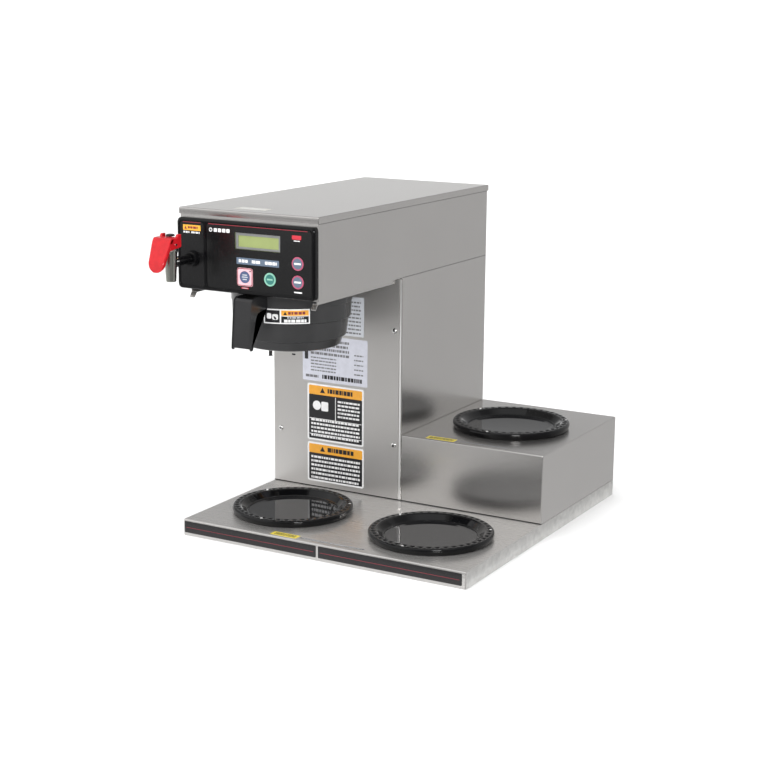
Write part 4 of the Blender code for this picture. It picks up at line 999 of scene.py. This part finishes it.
def foot_outline(a):
    """A drip foot's outline, turned to stand along a radius of the bowl."""
    x, y = BREW_X + FOOT_RADIUS * cos(a), BREW_Y + FOOT_RADIUS * sin(a)
    half, width = FOOT_HALF_LENGTH, FOOT_HALF_WIDTH
    foot = rectangle(-half, -width, half, width, 0.0008, 3)
    return [(x + u * cos(a) - v * sin(a), y + u * sin(a) + v * cos(a)) for u, v in foot][::-1]


def facing_down(z):
    return lambda u, v, height: Vector((u, v, z - height))


def densified(outline, pieces=12):
    points = []
    for (u0, v0), (u1, v1) in zip(outline, outline[1:] + outline[:1]):
        count = pieces if hypot(u1 - u0, v1 - v0) > 0.02 else 1
        points += [(u0 + (u1 - u0) * k / count, v0 + (v1 - v0) * k / count) for k in range(count)]
    return points


def make_grip():
    front_top, front_bottom = FRONT - 0.0052, FRONT - 0.0106
    arm_back = BREW_Y - 0.0775
    side = [
        (arm_back, 0.3028),
        (arm_back, 0.3146),
        (arm_back - 0.0030, 0.3165),
        (front_top + 0.0040, 0.3165),
        (front_top, 0.3130),
        (front_bottom, 0.2560),
        (front_bottom + 0.0044, 0.2560),
        (front_top + 0.0062, 0.2950),
        (front_top + 0.0120, 0.3010),
    ]
    outline = filleted(side, 0.0018, 5)[::-1]
    bm = bmesh.new()
    half, edge = GRIP_HALF_WIDTH, GRIP_EDGE
    insets = ((0, edge), (edge * 0.3, edge * 0.29), (edge, 0.0))
    sections = [(-half + u, inset) for u, inset in insets]
    sections += [(half - u, inset) for u, inset in insets[::-1]]
    rows = []
    for u, inset in sections:
        points = shrunk(outline, inset)[::-1]
        rows.append([bm.verts.new((BREW_X + u, y, z)) for y, z in points])
    stitch(bm, rows)
    bm.faces.new(rows[0])
    bm.faces.new(rows[-1][::-1])
    outwards(bm)
    add("funnel_grip", bm, [BLACK], "brew_funnel", replaces=["funnel_handle"])


LABEL_RADIUS = 0.0764
SLICE_WIDTH = 2.5


def around_funnel(u, v, height):
    """u millimetres along the bowl's middle step from its front, v up and height outwards."""
    angle = radians(-90) + u / LABEL_RADIUS
    radius = LABEL_RADIUS + height
    return Vector((BREW_X + radius * cos(angle), BREW_Y + radius * sin(angle), v))


def slices(left, low, right, high, colour, layer):
    """A rectangle cut into narrow upright strips, which follow a curved face."""
    count = round((right - left) / SLICE_WIDTH)
    width = (right - left) / count
    edges = [left + width * i for i in range(count + 1)]
    return [(rectangle(a, low, b, high), colour, layer) for a, b in zip(edges, edges[1:])]


def make_funnel_label():
    left, low, right, high = 8.0, 282.8, 66.0, 301.2
    shapes = slices(left, low, right, high, "white", 0)
    shapes += slices(left + 1.5, low + 1.5, left + 20.5, high - 1.5, "black", 1)
    shapes += slices(left + 22.5, high - 8.2, right - 1.5, high - 1.5, "orange", 1)
    shapes += slices(left + 22.5, low + 1.5, right - 1.5, high - 9.0, "black", 1)
    shapes += [(rectangle(left + 4.0, low + 6.0, left + 10.0, low + 13.0, 2.0), "white", 2)]
    shapes += [(rectangle(left + 11.0, low + 5.0, left + 18.5, low + 12.0, 2.0), "white", 2)]
    shapes += dashes(left + 31.0, right - 6.0, high - 3.2, 1, 3, 3.4, 41, "dark_red", 2)
    triangle = [(left + 25.0, high - 7.2), (left + 29.5, high - 7.2), (left + 27.2, high - 3.0)]
    shapes += [(triangle, "black", 2)]
    shapes += dashes(left + 26.0, right - 4.5, low + 5.6, 1, 3, 3.6, 42, "white", 2)
    shapes += dashes(left + 30.0, right - 8.0, low + 8.6, 1, 3, 1.6, 43, "pale", 2)
    printed("funnel_label", shapes, around_funnel, "brew_funnel", "black_plastic", start=0.0001)


# ---- labels
def make_labels():
    place = facing_front(COLUMN_FRONT)
    upper = [(rectangle(55, 237, 142.8, 290, 1.2), "pale", 0)]
    upper += dashes(60, 138, 284, 9, 5.2, 2.2, 11, "grey", 1)
    plate = [(rectangle(47, 169.5, 148.5, 233, 1.6), "plate", 0)]
    plate += dashes(60, 120, 228, 4, 6.0, 3.4, 12, "grey", 1)
    plate += dashes(60, 100, 203, 5, 4.4, 1.8, 13, "grey", 1)
    plate += dashes(78, 140, 179.5, 1, 4, 5.5, 14, "black", 1)
    plate += dashes(52, 72, 178, 1, 4, 3.5, 15, "grey", 1)
    plate += dashes(128, 142, 212, 5, 6.5, 1.8, 16, "grey", 1)
    signs = notice(54.5, 87, 143, 166, 21, True) + notice(54.5, 29, 143.5, 84, 22, False)
    printed("column_labels", on_panel(upper + plate + signs), place, slot="strip_film")

    tape = [(rectangle(130, 4, 168, 16, 0.5), "yellow", 0)]
    tape += [(rectangle(133, 6, 165, 14), "yellow", 1)]
    tape += dashes(134, 164, 13.5, 2, 4, 2.6, 31, "black", 2)
    tape += [(rectangle(171, 8.3, 262, 11.7, 0.5), "seam", 0)]
    tape += dashes(173, 260, 10.9, 1, 4, 1.6, 32, "pale", 1)
    printed("base_tape", from_corner(tape), facing_up(BASE_TOP), slot="strip_film")
    tape = [(rectangle(235, 216, 276, 229, 0.5), "yellow", 0)]
    tape += dashes(238, 273, 226, 2, 4, 2.6, 33, "black", 2)
    tape += dashes(280, 350, 224, 1, 4, 2.4, 34, "grey", 0)
    printed("box_tape", from_corner(tape), facing_up(BOX_TOP), slot="strip_film")
    sheet = [(rectangle(66, 26, 112, 44, 1.0), "sticker", 0)]
    sheet += dashes(70, 104, 40, 3, 4, 1.2, 35, "pale", 1)
    printed("lid_sticker", from_corner(sheet), facing_up(LID_FACE), slot="stainless_steel")


def from_corner(shapes):
    """Moves shapes from millimetres off the base's front left corner to the object's x and y."""
    return moved(shapes, LEFT, FRONT)


def notice(left, low, right, high, seed, pictured):
    """A white-edged sign: an orange heading over a black body with rows of small bars."""
    header = high - 15
    shapes = [
        (rectangle(left, low, right, high, 3.5), "white", 0),
        (rectangle(left + 2.4, header, right - 2.4, high - 2.4, 2.0), "orange", 1),
        (rectangle(left + 2.4, low + 2.4, right - 2.4, header, 1.2), "black", 1),
        ([(left + 20, header + 3), (left + 28, header + 3), (left + 24, header + 10)], "black", 2),
    ]
    shapes += dashes(left + 32, right - 16, header + 9.5, 1, 4, 6.0, seed, "black", 2)
    if pictured:
        shapes += [(rectangle(left + 44, header - 33, left + 45, header - 1), "white", 2)]
        for z in (header - 33, low + 9):
            shapes += [(rectangle(left + 3, z - 0.8, right - 3, z), "white", 2)]
        shapes += [(disc(left + 15, header - 15, 6.5, 24), "white", 2)]
        shapes += [(rectangle(left + 22, header - 22, left + 33, header - 9, 2), "white", 2)]
        shapes += dashes(left + 48, right - 6, header - 5, 5, 5.2, 2.6, seed + 1, "white", 2)
        shapes += dashes(left + 6, right - 6, header - 34, 5, 5.4, 2.8, seed + 2, "white", 2)
    else:
        shapes += dashes(left + 6, right - 6, header - 4, 6, 5.8, 3.0, seed + 3, "white", 2)
    return shapes


# ---- stage
CAMERA_PLACE = Vector((1.0115, -1.8533, 0.6554))
CAMERA_AZIMUTH, CAMERA_ELEVATION, CAMERA_ROLL = 29.526, 12.744, 0.431
CAMERA_LENS = 76.77


def make_camera():
    a, e, r = (radians(d) for d in (CAMERA_AZIMUTH, CAMERA_ELEVATION, CAMERA_ROLL))
    back = Vector((sin(a) * cos(e), -cos(a) * cos(e), sin(e)))
    right = Vector((cos(a), sin(a), 0))
    up = back.cross(right)
    axis_x = right * cos(r) + up * sin(r)
    axis_y = up * cos(r) - right * sin(r)
    data = bpy.data.cameras.new("camera")
    data.lens = CAMERA_LENS
    data.sensor_width = 36
    camera = bpy.data.objects.new("camera", data)
    turn = Matrix((axis_x, axis_y, back)).transposed().to_4x4()
    camera.matrix_world = Matrix.Translation(CAMERA_PLACE) @ turn
    scene.collection.objects.link(camera)
    scene.camera = camera


def make_floor():
    bm = bmesh.new()
    half, far, rise, sunk = 6.0, 5.0, 3.0, 0.0004
    line = filleted([(-half, 0.0), (far, 0.0), (far, rise)], 2.0, 24, closed=False)
    rows = [[bm.verts.new((x, y, z - sunk)) for x in (-half, half)] for y, z in line]
    for a, b in zip(rows, rows[1:]):
        bm.faces.new((a[0], a[1], b[1], b[0]))
    mesh = bpy.data.meshes.new("floor")
    bm.to_mesh(mesh)
    bm.free()
    paper = finish("pale_paper", (0.86, 0.86, 0.86), 0.9, swing=0.01, grain=300, depth=0.00001)
    mesh.materials.append(paper)
    mesh.polygons.foreach_set("use_smooth", [True] * len(mesh.polygons))
    floor = bpy.data.objects.new("floor", mesh)
    floor.visible_glossy = False
    scene.collection.objects.link(floor)


def lamp(name, data, position, target, mirrored):
    """A light aimed at a point. One that isn't mirrored leaves no highlight."""
    light = bpy.data.objects.new(name, data)
    towards = Vector(target) - Vector(position)
    turn = towards.to_track_quat("-Z", "Y").to_matrix().to_4x4()
    light.matrix_world = Matrix.Translation(position) @ turn
    light.visible_glossy = mirrored
    scene.collection.objects.link(light)


def softbox(name, position, target, width, height, power):
    data = bpy.data.lights.new(name, "AREA")
    data.shape = "RECTANGLE"
    data.size, data.size_y = width, height
    data.energy = power
    lamp(name, data, position, target, True)


def wide_light(name, position, strength, spread_angle):
    data = bpy.data.lights.new(name, "SUN")
    data.energy = strength
    data.angle = radians(spread_angle)
    lamp(name, data, position, (0, 0, 0), False)


def card(name, corners, brightness):
    """A studio card that shows only as a reflection in the steel and the gloss."""
    material = bpy.data.materials.new(name)
    material.use_nodes = True
    material.node_tree.nodes.remove(shader_of(material))
    glow = new_node(material, "ShaderNodeEmission")
    glow.inputs["Strength"].default_value = brightness
    surface = material.node_tree.nodes["Material Output"].inputs["Surface"]
    join(material, glow.outputs["Emission"], surface)
    mesh = bpy.data.meshes.new(name)
    mesh.from_pydata(corners, [], [(0, 1, 2, 3)])
    mesh.materials.append(material)
    plane = bpy.data.objects.new(name, mesh)
    scene.collection.objects.link(plane)
    plane.visible_camera = False
    plane.visible_diffuse = False
    plane.visible_transmission = False
    plane.visible_shadow = False


def floor_card(name, left, near, right, far, brightness):
    z = 0.001
    card(name, [(left, near, z), (right, near, z), (right, far, z), (left, far, z)], brightness)


def calculated(owner, operation, first, second):
    """A sum on two inputs, each of them a number or another node's output."""
    node = new_node(owner, "ShaderNodeMath", operation=operation)
    for socket, value in zip(node.inputs, (first, second)):
        if isinstance(value, (int, float)):
            socket.default_value = value
        else:
            join(owner, value, socket)
    return node.outputs["Value"]


def make_world():
    """White low down behind the object, dimmer above that and dark to the front right."""
    world = bpy.data.worlds.new("studio")
    scene.world = world
    world.use_nodes = True
    place = new_node(world, "ShaderNodeTexCoord")
    towards_dark = new_node(world, "ShaderNodeVectorMath", operation="DOT_PRODUCT")
    towards_dark.inputs[1].default_value = (0.8, -0.6, 0)
    join(world, place.outputs["Generated"], towards_dark.inputs[0])
    side = spread(world, towards_dark.outputs["Value"], 1.0, 0.30, 0.25, 0.70)
    parts = new_node(world, "ShaderNodeSeparateXYZ")
    join(world, place.outputs["Generated"], parts.inputs["Vector"])
    behind = spread(world, parts.outputs["Y"], 0.0, 1.0, 0.0, 0.3)
    above = spread(world, parts.outputs["Z"], 0.0, 0.66, 0.12, 0.27)
    dimming = calculated(world, "SUBTRACT", 1.0, calculated(world, "MULTIPLY", behind, above))
    background = world.node_tree.nodes["Background"]
    background.inputs["Color"].default_value = (1, 1, 1, 1)
    join(world, calculated(world, "MULTIPLY", side, dimming), background.inputs["Strength"])


def make_lights():
    make_world()
    floor_card("near_floor_card", -2.2, -1.3, 0.05, -0.27, 0.54)
    floor_card("far_floor_card", -3.2, -3.2, 0.05, -1.3, 0.28)
    floor_card("right_floor_card", 0.05, -3.2, 2.4, -0.27, 0.14)
    floor_card("side_floor_card", 0.215, -0.27, 2.4, 0.9, 0.56)
    floor_card("back_floor_card", -0.30, 0.27, 0.215, 0.9, 0.50)
    standing = [(-0.05, 0.9, 0.001), (2.4, 0.9, 0.001), (2.4, 0.9, 1.2), (-0.05, 0.9, 1.2)]
    card("back_card", standing, 0.53)
    wide_light("overhead", (-0.5, -1.0, 4.0), 2.6, 70)
    softbox("front", (1.5, -1.9, 0.85), (0, 0, 0.1), 0.60, 0.45, 30)
    scene.view_settings.view_transform = "Standard"


def main():
    make_camera()
    dress_cad_nodes()
    make_base()
    for number, (x, y, z) in enumerate(WARMERS, 1):
        make_warmer(number, x, y, z)
    make_rear_box()
    make_seams()
    make_column()
    make_head()
    make_side_seams_and_shade()
    make_back()
    make_bezel()
    make_panel_print()
    make_key_print()
    make_display()
    make_faucet()
    make_handle()
    make_funnel()
    make_funnel_label()
    make_grip()
    make_labels()
    make_floor()
    make_lights()


main()
bpy.context.view_layer.update()
